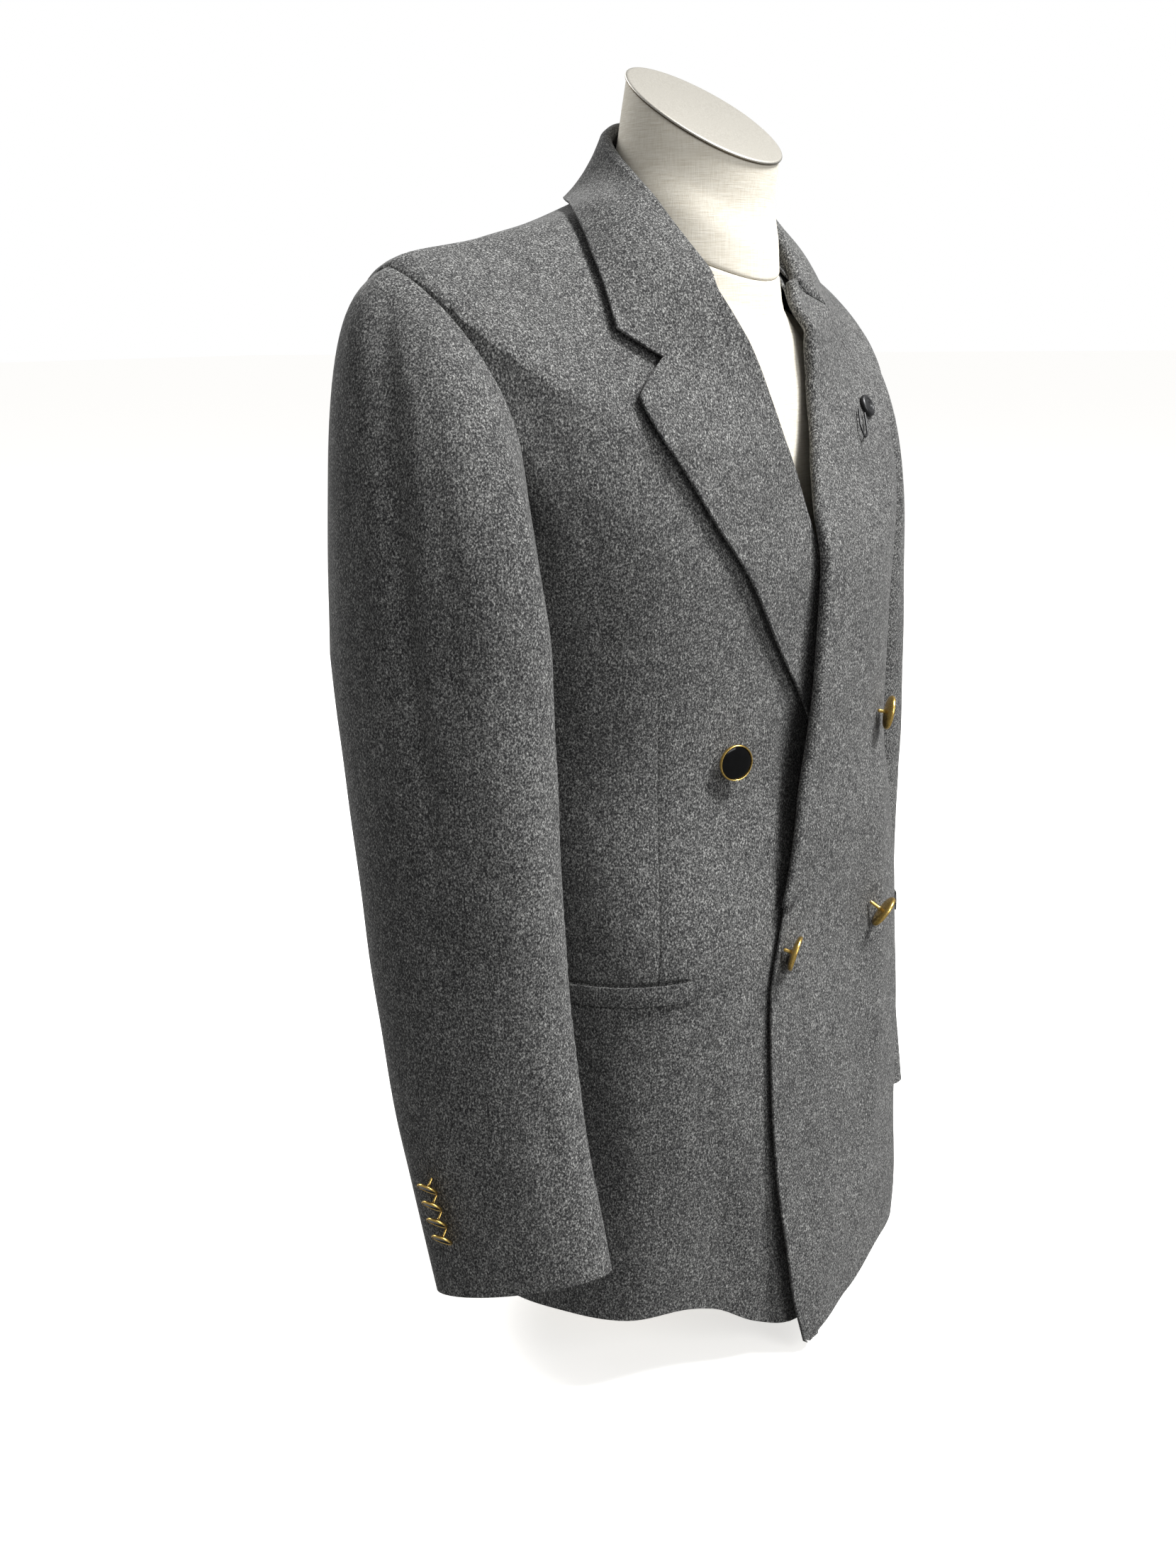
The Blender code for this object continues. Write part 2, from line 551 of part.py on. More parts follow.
def make_collar(fall_name, stand_name, material):
    rows, normals, stand, stand_normals = [], [], [], []
    for side in (-1, 1):
        half, half_normals, feet = collar_rows(side)
        root = float(front_edge(side, GORGE))
        angle, level = broken_path((root, GORGE), NOTCH, COLLAR_TIP)
        last, last_normals = turned_row(side, angle, level, LAPEL_HEIGHT)
        half.append(last)
        half_normals.append(last_normals)
        posts = []
        for foot, top, up in feet[:-1]:
            base = foot + np.array([0.0, 0.0, 0.0006]) + unit(top - foot) * 0.0004
            posts.append(base + (top - base) * np.linspace(0, 1, 5)[:, None])
        backs = [np.repeat(-up[None], 5, 0) for foot, top, up in feet[:-1]]
        if side < 0:
            rows = half[::-1]
            normals = half_normals[::-1]
            stand = posts[::-1]
            stand_normals = backs[::-1]
        else:
            rows += half[1:]
            normals += half_normals[1:]
            stand += posts[1:]
            stand_normals += backs[1:]
    wall(fall_name, np.array(rows), np.array(normals), CLOTH, material)
    stand = np.array(stand)
    facing = grid_normals(stand, np.array([0.0, -0.3, 0.8]))
    inward = np.sign(np.sum(facing * np.array(stand_normals), -1, keepdims=True))
    wall(stand_name, stand, facing * inward, CLOTH, material)


# ---------------- sleeves ----------------

ROUND = 22                # steps round a sleeve
CAP_STEPS = 7


def armhole_loop(side):
    # points round the armhole: top, down the front, under the arm and up the back
    fine = np.linspace(1, 0, 60)
    angle, level = armhole(FRONT_START + (1 - FRONT_START) * fine, ARMHOLE_FRONT)
    front = panel_point(side, angle, level)
    angle, level = armhole(BACK_START + (1 - BACK_START) * fine[::-1], ARMHOLE_BACK)
    back = panel_point(side, angle, level)
    front_level = float(armhole(FRONT_START, ARMHOLE_FRONT)[1])
    back_level = float(armhole(BACK_START, ARMHOLE_BACK)[1])
    share = np.linspace(0, 1, 20)
    under = panel_point(side, FRONT_SIDE + (BACK_SIDE - FRONT_SIDE) * share,
                        front_level + (back_level - front_level) * share)
    low = 10
    halves = []
    for path in (np.concatenate([front, under[1:low]]), np.concatenate([under[low - 1:-1], back])):
        length = np.concatenate([[0], np.cumsum(np.linalg.norm(np.diff(path, axis=0), axis=1))])
        want = np.linspace(0, length[-1], ROUND // 2 + 1)
        halves.append(np.stack([np.interp(want, length, path[:, k]) for k in range(3)], -1))
    return np.concatenate([halves[0], halves[1][1:]])


def sleeve_section(side, z, place):
    # one section of the sleeve's tube; place runs from the outside over the front
    row = {name: look_up_falling(SLEEVE, name, z) for name in SLEEVE}
    down = np.clip((0.56 - z) / 0.44, 0, 1)
    late = LEFT_SLEEVE_BACK * (0.5 + 0.5 * down) if side > 0 else 0.0
    near = LEFT_SLEEVE_IN if side > 0 else 0.0
    lower = LEFT_SLEEVE_DROP * down if side > 0 else 0.0
    turn = math.radians(row["turn"])
    out = row["half_x"] * np.cos(2 * math.pi * place)
    ahead = row["half_y"] * np.sin(2 * math.pi * place)
    x = row["out_x"] - near + out * math.cos(turn) - ahead * math.sin(turn)
    y = row["centre_y"] + late - out * math.sin(turn) * 0.4 - ahead * math.cos(turn)
    return np.stack([side * x, y, z - lower + row["rise"] * np.sin(2 * math.pi * place)], -1)


def look_up_falling(tab, name, z):
    return float(smooth(tab["z"][::-1], tab[name][::-1], z))


def sleeve_grid(side):
    place = np.arange(ROUND + 1) / ROUND
    top = armhole_loop(side)
    top = top + np.array([side * 2 * SEAM, 0.0, 0.0])
    high = SLEEVE["z"][0]
    foot = sleeve_section(side, high, place)
    cos, sin = np.cos(2 * math.pi * place), np.sin(2 * math.pi * place)
    leave = np.stack([side * (0.025 + 0.022 * cos), -0.014 * sin, -0.006 - 0.004 * cos], -1)
    arrive = np.stack([0 * cos, 0 * cos, 0.058 + 0.052 * cos], -1)
    rows = []
    for t in np.linspace(0, 1, CAP_STEPS + 1):
        rows.append((1 - t)**3 * top + 3 * (1 - t)**2 * t * (top + leave)
                    + 3 * (1 - t) * t**2 * (foot + arrive) + t**3 * foot)
    for z in np.linspace(high, SLEEVE["z"][-1], 10)[1:]:
        rows.append(sleeve_section(side, z, place))
    face = np.array(rows)
    middle = face[:, :-1].mean(axis=1, keepdims=True)
    run = np.linspace(0, 1, len(rows))[:, None]
    for at, width, depth, reach in zip(*SLEEVE_TROUGHS.values()):
        off = ((place - at + 0.5) % 1 - 0.5) / width
        fade = np.clip(run * 12, 0, 1) * np.clip(1 - run / reach, 0, 1) ** 0.8
        face -= unit(face - middle) * (depth * np.exp(-off**2) * fade)[..., None]
    return face, middle


def make_sleeve(side, top_name, under_name, material):
    face, middle = sleeve_grid(side)
    closed = np.concatenate([face[:, -2:-1], face, face[:, 1:2]], axis=1)
    normals = grid_normals(closed, middle)[:, 1:-1]
    first = round(FRONT_SLEEVE_SEAM * ROUND)
    last = round(BACK_SLEEVE_SEAM * ROUND)
    wall(under_name, face[:, first:last + 1], normals[:, first:last + 1], CLOTH, material)
    outer = list(range(last, ROUND)) + list(range(0, first + 1))
    wall(top_name, face[:, outer], normals[:, outer], CLOTH, material)
    return face, normals


# ---------------- trimmings ----------------

WELT_FRONT = 41.4         # own angle of the pocket mouth's front end
WELT_BACK = 86.0
WELT_TOP = 0.2850
WELT_HEIGHT = 0.0135
WELT_SLOPE = 0.002


def make_welt(side, name, material):
    share = np.linspace(0, 1, 12)
    own = np.repeat((WELT_FRONT + (WELT_BACK - WELT_FRONT) * share)[None], 3, 0)
    down = np.linspace(0, 1, 3)[:, None]
    levels = WELT_TOP - WELT_SLOPE * np.sin(math.pi * share) - WELT_HEIGHT * down
    height = SEAM + WELT_THICK
    wall(name, panel_point(side, own, levels, height), panel_normal(side, own, levels),
         WELT_THICK, material)


def button_profiles(radius, shank):
    # side view of the gilt body with its shank, and of the enamel set in its face
    r = radius
    body = [(0, 0), (0.14 * r, 0), (0.14 * r, shank), (0.55 * r, shank + 0.02 * r),
            (r, shank + 0.20 * r), (0.99 * r, shank + 0.31 * r), (0.95 * r, shank + 0.37 * r),
            (0.91 * r, shank + 0.35 * r), (0.90 * r, shank + 0.25 * r), (0, shank + 0.25 * r)]
    low = shank + 0.25 * r + 0.0001
    enamel = [(0, low), (0.82 * r, low), (0.82 * r, low + 0.07 * r), (0.64 * r, low + 0.11 * r),
              (0, low + 0.14 * r)]
    return body, enamel


def facing(azimuth, droop):
    a, d = math.radians(azimuth), math.radians(droop)
    return np.array([math.sin(a) * math.cos(d), -math.cos(a) * math.cos(d), -math.sin(d)])


def make_button(name, place, axis, radius, shank, metal, enamel, steps):
    body, inset = button_profiles(radius, shank)
    spun(name, body, place, axis, metal, steps)
    spun(name + "_enamel", inset, place, axis, enamel, steps)


def seat_button(point, out, axis, radius, shank):
    # lifts a tilted shank's foot off the cloth, and lengthens it until the rim clears the cloth
    lean = math.acos(np.clip(np.dot(unit(axis), out), -1, 1))
    foot = 0.14 * radius * math.sin(lean) + 1.2 * SEAM
    clear = (radius * math.sin(lean) + 0.0007 - foot) / math.cos(lean) - 0.20 * radius
    return point + out * foot, max(shank, clear)


def make_front_buttons(metal, enamel):
    for name, side, own, level, azimuth, droop in FRONT_BUTTONS:
        axis = facing(azimuth, droop)
        place, shank = seat_button(panel_point(side, own, level), panel_normal(side, own, level),
                                   axis, BUTTON_RADIUS, SHANK)
        make_button(name, place, axis, BUTTON_RADIUS, shank, metal, enamel, 20)


CUFF_BUTTON_PLACE = 0.930     # share of the way round the sleeve
CUFF_BUTTON_HANG = 1.15       # how steeply they hang face down
CUFF_BUTTON_LOW = 0.0435      # lowest one above the cuff


def make_cuff_buttons(side, word, metal, enamel):
    for i in range(4):
        z = SLEEVE["z"][-1] + CUFF_BUTTON_LOW + i * CUFF_BUTTON_STEP
        at = sleeve_section(side, z, np.array([CUFF_BUTTON_PLACE]))[0]
        near = sleeve_section(side, z, np.array([CUFF_BUTTON_PLACE + 0.01]))[0]
        above = sleeve_section(side, z + 0.01, np.array([CUFF_BUTTON_PLACE]))[0]
        middle = sleeve_section(side, z, np.arange(12) / 12).mean(axis=0)
        out = unit(np.cross(near - at, above - at))
        out *= np.sign(np.dot(out, at - middle))
        axis = unit(out + np.array([0.0, 0.0, -CUFF_BUTTON_HANG]))
        place, shank = seat_button(at, out, axis, CUFF_BUTTON_RADIUS, 0.0024)
        make_button(f"cuff_button_{word}_{i + 1}", place, axis, CUFF_BUTTON_RADIUS, shank,
                    metal, enamel, 14)


STUD_OWN = 27.5
STUD_LEVEL = 0.6300
STUD_RADIUS = 0.0080
WIRE_RADIUS = 0.0008


def make_stud(material):
    out = panel_normal(1, STUD_OWN, STUD_LEVEL)
    place = panel_point(1, STUD_OWN, STUD_LEVEL, LAPEL_HEIGHT + 2.5 * SEAM)
    r = STUD_RADIUS
    profile = [(0, 0), (0.90 * r, 0), (r, 0.10 * r), (r, 0.28 * r), (0.88 * r, 0.40 * r),
               (0.30 * r, 0.44 * r), (0.24 * r, 0.36 * r), (0, 0.36 * r)]
    spun("lapel_stud", profile, place, out, material, 24)
    side = unit(np.cross((0.0, 0.0, 1.0), out))
    down = np.cross(side, out)
    down *= -np.sign(down[2])
    side, down = side * 0.83 + down * 0.56, down * 0.83 - side * 0.56
    lift = out * (WIRE_RADIUS + 0.0006)
    width, length = 0.0045, 0.0230
    start = place + lift + down * (r + 0.0026) - side * 0.0105
    shape = [(0.9, 0.0), (1.0, 0.30), (0.95, 0.66), (0.45, 0.92), (0.0, 1.0), (-0.5, 0.90),
             (-1.0, 0.62), (-1.0, 0.30), (-0.9, 0.06)]
    curve = bpy.data.curves.new("lapel_wire", "CURVE")
    curve.dimensions = "3D"
    curve.bevel_depth = WIRE_RADIUS
    curve.bevel_resolution = 2
    curve.use_fill_caps = True
    line = curve.splines.new("POLY")
    knots = np.arange(len(shape), dtype=float)
    fine = np.linspace(0, knots[-1], 25)
    xs = smooth(knots, np.array([s[0] for s in shape]), fine) * width
    ys = smooth(knots, np.array([s[1] for s in shape]), fine) * length
    line.points.add(len(fine) - 1)
    for point, x, y in zip(line.points, xs, ys):
        point.co = (*(start + side * x + down * y), 1.0)
    curve.materials.append(material)
    obj = bpy.data.objects.new("lapel_wire", curve)
    bpy.context.collection.objects.link(obj)


# ---------------- dress form ----------------

def make_form(linen, metal, wood):
    angles = np.arange(32) * 360 / 32

    def loops(tab, count):
        levels = np.linspace(tab["front_z"][0], tab["front_z"][-1], count)
        return [ring_point(tab, angles, np.full(len(angles), level)) for level in levels]

    torso = np.array(loops(TORSO, 19))
    own = (angles + 180) % 360 - 180
    hollow = ease((own - 26) / 16) * ease((100 - own) / 15)
    high = ease((torso[:, 0, 2] - 0.655) / 0.03)
    torso += (high[:, None] * hollow)[..., None] * np.array(TORSO_HOLLOW)
    ringed_solid("form_torso", list(torso), linen)
    neck = np.array(loops(FORM_NECK, 7))
    low = 1 - ease((neck[:, 0, 2] - 0.728) / 0.040)
    neck += (low[:, None] * hollow)[..., None] * np.array(TORSO_HOLLOW)
    neck[..., 2] += neck[..., 0] * (NECK_LEAN * ease((neck[:, :1, 2] - 0.750) / 0.050))
    ringed_solid("form_neck", list(neck), linen)
    rim = neck[-1]
    middle = rim.mean(axis=0)
    up = unit(np.cross(rim[8] - rim[0], rim[16] - rim[0]))
    up *= np.sign(up[2])
    wide = middle + (rim - middle) * 1.025
    low = wide + up * SEAM
    high = wide + up * (SEAM + 0.8 * CAP_THICK)
    crown = middle + (rim - middle) * 0.985 + up * (SEAM + CAP_THICK)
    ringed_solid("form_neck_cap", [low, high, crown], metal)
    oval = np.stack([0.084 * np.sin(np.radians(angles)), -0.058 * np.cos(np.radians(angles))], -1)
    plate = []
    for z, scale in ((0.0, 0.96), (0.002, 1.0), (BASE_THICK - 0.002, 1.0), (BASE_THICK, 0.97)):
        plate.append(np.column_stack([oval * scale, np.full(len(oval), z)]))
    ringed_solid("form_base", plate, wood)


def build():
    for obj in list(bpy.data.objects):
        bpy.data.objects.remove(obj, do_unlink=True)
    flannel = make_material("flannel", (0.085, 0.087, 0.092), 0.95)
    linen = make_material("linen", (0.80, 0.77, 0.70), 0.85)
    gilt = make_material("gilt", (0.72, 0.50, 0.18), 0.35, 1.0)
    enamel = make_material("enamel", (0.010, 0.010, 0.011), 0.12)
    cap_metal = make_material("cap_metal", (0.62, 0.61, 0.58), 0.40, 0.9)
    black_metal = make_material("black_metal", (0.02, 0.02, 0.02), 0.45, 0.3)
    wood = make_material("wood", (0.30, 0.20, 0.12), 0.6)

    for side, word in ((-1, "right"), (1, "left")):
        make_front(side, "front_" + word, flannel)
        make_side(side, "side_" + word, flannel)
        make_back(side, "back_" + word, flannel)
        make_lapel(side, "lapel_" + word, flannel)
        make_sleeve(side, "top_sleeve_" + word, "under_sleeve_" + word, flannel)
        make_welt(side, "pocket_welt_" + word, flannel)
        make_cuff_buttons(side, word, gilt, enamel)
    make_collar("collar_fall", "collar_stand", flannel)
    make_front_buttons(gilt, enamel)
    make_stud(black_metal)
    make_form(linen, cap_metal, wood)


build()
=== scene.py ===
import math

import bmesh
import bpy
import numpy as np
from mathutils import Matrix, Vector, noise


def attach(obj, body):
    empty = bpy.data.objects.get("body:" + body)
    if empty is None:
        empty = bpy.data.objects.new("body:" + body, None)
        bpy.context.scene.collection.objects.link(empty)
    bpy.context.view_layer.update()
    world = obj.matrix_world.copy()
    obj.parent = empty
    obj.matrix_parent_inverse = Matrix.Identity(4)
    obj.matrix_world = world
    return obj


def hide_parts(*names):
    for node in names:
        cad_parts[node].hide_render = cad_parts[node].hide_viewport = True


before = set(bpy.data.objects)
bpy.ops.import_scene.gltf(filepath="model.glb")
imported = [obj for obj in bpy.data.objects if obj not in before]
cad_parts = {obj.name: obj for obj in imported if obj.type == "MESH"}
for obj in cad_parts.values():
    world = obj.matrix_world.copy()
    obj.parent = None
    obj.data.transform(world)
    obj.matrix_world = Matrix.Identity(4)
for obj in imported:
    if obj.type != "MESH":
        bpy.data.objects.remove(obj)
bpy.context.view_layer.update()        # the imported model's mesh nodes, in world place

scene = bpy.context.scene
print("frame loaded:", len(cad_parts), "nodes")


# small tools

def columns(names, rows):
    return dict(zip(names, np.array(rows, float).T))


def smoothCurve(xs, ys, x):
    # monotone cubic through the points of a table
    x = np.clip(x, xs[0], xs[-1])
    slope = np.diff(ys) / np.diff(xs)
    bend = np.concatenate(([slope[0]], np.zeros(len(xs) - 2), [slope[-1]]))
    for i in range(1, len(xs) - 1):
        if slope[i - 1] * slope[i] > 0:
            a = xs[i] - xs[i - 1]
            b = xs[i + 1] - xs[i]
            bend[i] = 3 * (a + b) / ((2 * b + a) / slope[i - 1] + (b + 2 * a) / slope[i])
    i = np.clip(np.searchsorted(xs, x, side="right") - 1, 0, len(xs) - 2)
    w = xs[i + 1] - xs[i]
    t = (x - xs[i]) / w
    start = (2 * t**3 - 3 * t**2 + 1) * ys[i] + (t**3 - 2 * t**2 + t) * w * bend[i]
    end = (3 * t**2 - 2 * t**3) * ys[i + 1] + (t**3 - t**2) * w * bend[i + 1]
    return start + end


def lookUp(tab, key, name, x):
    return smoothCurve(tab[key], tab[name], x)


def unit(v):
    return v / np.maximum(np.linalg.norm(v, axis=-1, keepdims=True), 1e-12)


def ease(x):
    x = np.clip(x, 0.0, 1.0)
    return x * x * (3 - 2 * x)


def spaced(count, length, close=(0.0005, 0.0013, 0.0028)):
    # shares from 0 to 1 with extra lines close to both ends, at those distances in metres
    near = np.array(close) / length
    middle = np.linspace(0, 1, count)
    middle = middle[(middle > near[-1] * 1.4) & (middle < 1 - near[-1] * 1.4)]
    return np.concatenate([[0], near, middle, 1 - near[::-1], [1]])


def uneven(points, size, seed=0.0):
    # soft random rise and fall from -1 to 1 over that size in metres
    flat = points.reshape(-1, 3) / size + seed
    return np.array([noise.noise(p) for p in flat.tolist()]).reshape(points.shape[:-1])


def strokes(table, u, v, scale, wrap):
    # soft troughs and ridges along listed lines; u times scale and v are metres, and u closes after wrap metres
    u = u * scale
    total = np.zeros(np.broadcast(u, v).shape)
    for path, width, depth in table:
        path = np.array(path, float) * (scale, 1)
        knots = np.arange(len(path), dtype=float)
        fine = np.linspace(0, knots[-1], 8 * len(path))
        us, vs = smoothCurve(knots, path[:, 0], fine), smoothCurve(knots, path[:, 1], fine)
        best = np.full(total.shape, 1e9)
        along = np.zeros(total.shape)
        for k in range(len(fine)):
            du = (u - us[k] + wrap / 2) % wrap - wrap / 2
            d = du**2 + (v - vs[k])**2
            along = np.where(d < best, fine[k] / knots[-1], along)
            best = np.minimum(best, d)
        fade = np.sin(np.pi * np.clip(along * 0.92 + 0.04, 0, 1)) ** 0.7
        total += depth * np.exp(-best / width**2) * fade
    return total


# camera

camera = {"place": (-1.219, -0.829, 0.703), "yaw": -54.12, "pitch": 12.45, "roll": -0.88,
          "film": 36, "lens": 47.9132}      # both in mm

yaw, pitch, roll = (math.radians(camera[key]) for key in ("yaw", "pitch", "roll"))
back = Vector((math.sin(yaw) * math.cos(pitch), -math.cos(yaw) * math.cos(pitch), math.sin(pitch)))
right = (-back).cross(Vector((0, 0, 1))).normalized()
up = right.cross(-back)
right, up = (right * math.cos(roll) + up * math.sin(roll), up * math.cos(roll) - right * math.sin(roll))
lens = bpy.data.cameras.new("camera")
lens.sensor_fit = "VERTICAL"
lens.sensor_height = camera["film"]
lens.lens = camera["lens"]
lens.clip_end = 100
cameraObject = bpy.data.objects.new("camera", lens)
cameraObject.matrix_world = Matrix.Translation(camera["place"]) @ Matrix((right, up, back)).transposed().to_4x4()
scene.collection.objects.link(cameraObject)
scene.camera = cameraObject
print("camera placed")


# materials

def linear(hexColour):
    # sRGB hex to the linear colour that a shader takes
    parts = [int(hexColour[i:i + 2], 16) / 255 for i in (1, 3, 5)]
    return (*[c / 12.92 if c <= 0.04045 else ((c + 0.055) / 1.055) ** 2.4 for c in parts], 1.0)


def node(tree, kind, settings=None, links=None, stops=(), **values):
    # adds a node: settings are its own fields, links what feeds its sockets, values the sockets by name or number
    # after in, and stops a colour ramp's (place, hex) pairs
    made = tree.nodes.new(kind)
    for key, value in (settings or {}).items():
        setattr(made, key, value)
    for k, (place, hexColour) in enumerate(stops):
        point = made.color_ramp.elements[k] if k < 2 else made.color_ramp.elements.new(place)
        point.position, point.color = place, linear(hexColour)
    for key, value in values.items():
        made.inputs[int(key[2:]) if key[2:].isdigit() else key.replace("_", " ")].default_value = value
    for key, source in (links or {}).items():
        tree.links.new(source, made.inputs[key])
    return made


def newMaterial(name, **values):
    made = bpy.data.materials.new(name)
    made.use_nodes = True
    shader = made.node_tree.nodes["Principled BSDF"]
    for key, value in values.items():
        shader.inputs[key.replace("_", " ")].default_value = value
    return made, made.node_tree, shader


flannel = {
    "stops": [(0.38, "#191919"), (0.50, "#303031"), (0.585, "#484847"), (0.68, "#6e6e6d"), (0.82, "#a4a4a1")],
    "fleck": 0.00098,     # the mixed fibres clump at about this size, m
    "lying": 0.72,        # they lie along the warp, so the clumps are longer up and down
    "cloud": 0.0085,      # uneven blending of the dyed wool, m
    "nap": 0.0006,        # raised nap, drawn coarse enough to show, m
    "napHeight": 0.00020,
}


def makeFlannel():
    # grey heathered woollen flannel, milled and raised: no weave shows, only pale and dark fibres and a dull bloom
    made, tree, shader = newMaterial("heatheredWoolFlannel", Roughness=0.92, Sheen_Weight=0.16,
                                     Sheen_Roughness=0.45, Sheen_Tint=linear("#cbcac8"), Specular_IOR_Level=0.18)
    f = flannel
    metres = node(tree, "ShaderNodeTexCoord").outputs["Object"]
    lying = node(tree, "ShaderNodeMapping", links={"Vector": metres}, Scale=(1, 1, f["lying"])).outputs["Vector"]
    fleck = node(tree, "ShaderNodeTexNoise", links={"Vector": lying}, Scale=1 / f["fleck"], Detail=2.2,
                 Roughness=0.55, Distortion=0.5)
    cloud = node(tree, "ShaderNodeTexNoise", links={"Vector": lying}, Scale=1 / f["cloud"], Detail=3.0,
                 Roughness=0.65)
    field = node(tree, "ShaderNodeTexNoise", links={"Vector": metres}, Scale=16.0, Detail=1.0)
    blend = node(tree, "ShaderNodeMath", {"operation": "MULTIPLY_ADD"},
                 {0: cloud.outputs["Fac"], 2: fleck.outputs["Fac"]}, in1=0.12)
    total = node(tree, "ShaderNodeMath", {"operation": "MULTIPLY_ADD"},
                 {0: field.outputs["Fac"], 2: blend.outputs["Value"]}, in1=0.05)
    colour = node(tree, "ShaderNodeValToRGB", links={"Fac": total.outputs["Value"]}, stops=f["stops"])
    tree.links.new(colour.outputs["Color"], shader.inputs["Base Color"])
    nap = node(tree, "ShaderNodeTexNoise", links={"Vector": lying}, Scale=1 / f["nap"], Detail=3.0, Roughness=0.6)
    raised = node(tree, "ShaderNodeBump", links={"Height": nap.outputs["Fac"]}, Strength=0.5, Distance=f["napHeight"])
    milled = node(tree, "ShaderNodeBump", links={"Height": cloud.outputs["Fac"], "Normal": raised.outputs["Normal"]},
                  Strength=0.30, Distance=0.0009)
    tree.links.new(milled.outputs["Normal"], shader.inputs["Normal"])
    return made


linen = {
    "stops": [(0.36, "#c8c0b0"), (0.50, "#d4cec0"), (0.66, "#e0dbcf")],
    "pitch": 0.00075,     # thread spacing, m
    "slub": 0.010,        # length of the thick places in the weft, m
}


def makeLinen():
    # plain-weave linen glued over the form: warm off-white, fine threads both ways and a few thick slubs across
    made, tree, shader = newMaterial("plainWeaveLinen", Roughness=0.85, Sheen_Weight=0.06, Specular_IOR_Level=0.25)
    pitch = 1 / linen["pitch"]
    metres = node(tree, "ShaderNodeTexCoord").outputs["Object"]
    across = node(tree, "ShaderNodeMapping", links={"Vector": metres}, Scale=(0.05, 0.05, 1)).outputs["Vector"]
    upward = node(tree, "ShaderNodeMapping", links={"Vector": metres}, Scale=(1, 1, 0.05)).outputs["Vector"]
    flat = node(tree, "ShaderNodeMapping", links={"Vector": metres}, Scale=(1, 1, 12)).outputs["Vector"]
    weft = node(tree, "ShaderNodeTexNoise", links={"Vector": across}, Scale=pitch, Detail=1.5, Roughness=0.5)
    warp = node(tree, "ShaderNodeTexNoise", links={"Vector": upward}, Scale=pitch, Detail=1.5, Roughness=0.5)
    slub = node(tree, "ShaderNodeTexNoise", links={"Vector": flat}, Scale=1 / linen["slub"], Detail=2.0, Roughness=0.7)
    threads = node(tree, "ShaderNodeMix", {"data_type": "FLOAT"}, {2: weft.outputs["Fac"], 3: warp.outputs["Fac"]},
                   in0=0.5)
    woven = node(tree, "ShaderNodeMix", {"data_type": "FLOAT"}, {2: threads.outputs[0], 3: slub.outputs["Fac"]},
                 in0=0.42)
    colour = node(tree, "ShaderNodeValToRGB", links={"Fac": woven.outputs[0]}, stops=linen["stops"])
    tree.links.new(colour.outputs["Color"], shader.inputs["Base Color"])
    bump = node(tree, "ShaderNodeBump", links={"Height": woven.outputs[0]}, Strength=0.6, Distance=0.0004)
    tree.links.new(bump.outputs["Normal"], shader.inputs["Normal"])
    return made


# each finish: the real material, two shades of it, grain size in metres and its stretch, roughness, bump height
# and the shader's own values
finishes = {
    # gilded brass, drawn and satin polished: pale warm yellow with a soft wide shine and faint wear
    "gildedBrass": {"shades": ("#cba350", "#e8c97c"), "grain": 0.0012, "stretch": (1, 1, 1), "rough": (0.22, 0.36),
                    "bump": 0.00001, "shader": {"Metallic": 1.0}},
    # black vitreous enamel, fired and left glossy: deep black with a clear sharp shine
    "blackVitreousEnamel": {"shades": ("#030303", "#070708"), "grain": 0.004, "stretch": (1, 1, 1),
                            "rough": (0.05, 0.11), "bump": 0.000004, "shader": {"IOR": 1.5, "Specular IOR Level": 0.2}},
    # nickel-plated steel sheet brushed one way: a light warm grey cap with fine parallel lines that spread its shine
    "brushedNickelSteel": {"shades": ("#aaa69d", "#bdbab2"), "grain": 0.0006, "stretch": (1, 0.02, 1),
                           "rough": (0.44, 0.58), "bump": 0.00001, "shader": {"Metallic": 1.0}},
    # the sheet's cut edge, left to tarnish: dull dark bronze
    "tarnishedBronze": {"shades": ("#4a3e2e", "#6f6048"), "grain": 0.0010, "stretch": (1, 1, 0.3),
                        "rough": (0.38, 0.52), "bump": 0.00001, "shader": {"Metallic": 1.0}},
    # zinc alloy under matt black paint: soft shine with a fine orange-peel skin
    "blackPaintedZinc": {"shades": ("#0b0b0c", "#17181a"), "grain": 0.0009, "stretch": (1, 1, 1),
                         "rough": (0.32, 0.48), "bump": 0.00003, "shader": {"IOR": 1.5}},
    # beech, turned and waxed: pale brown with fine long grain and a low shine
    "waxedBeech": {"shades": ("#a5774c", "#c99b6c"), "grain": 0.0016, "stretch": (0.08, 1, 1), "rough": (0.42, 0.58),
                   "bump": 0.00004, "shader": {"IOR": 1.45}},
}


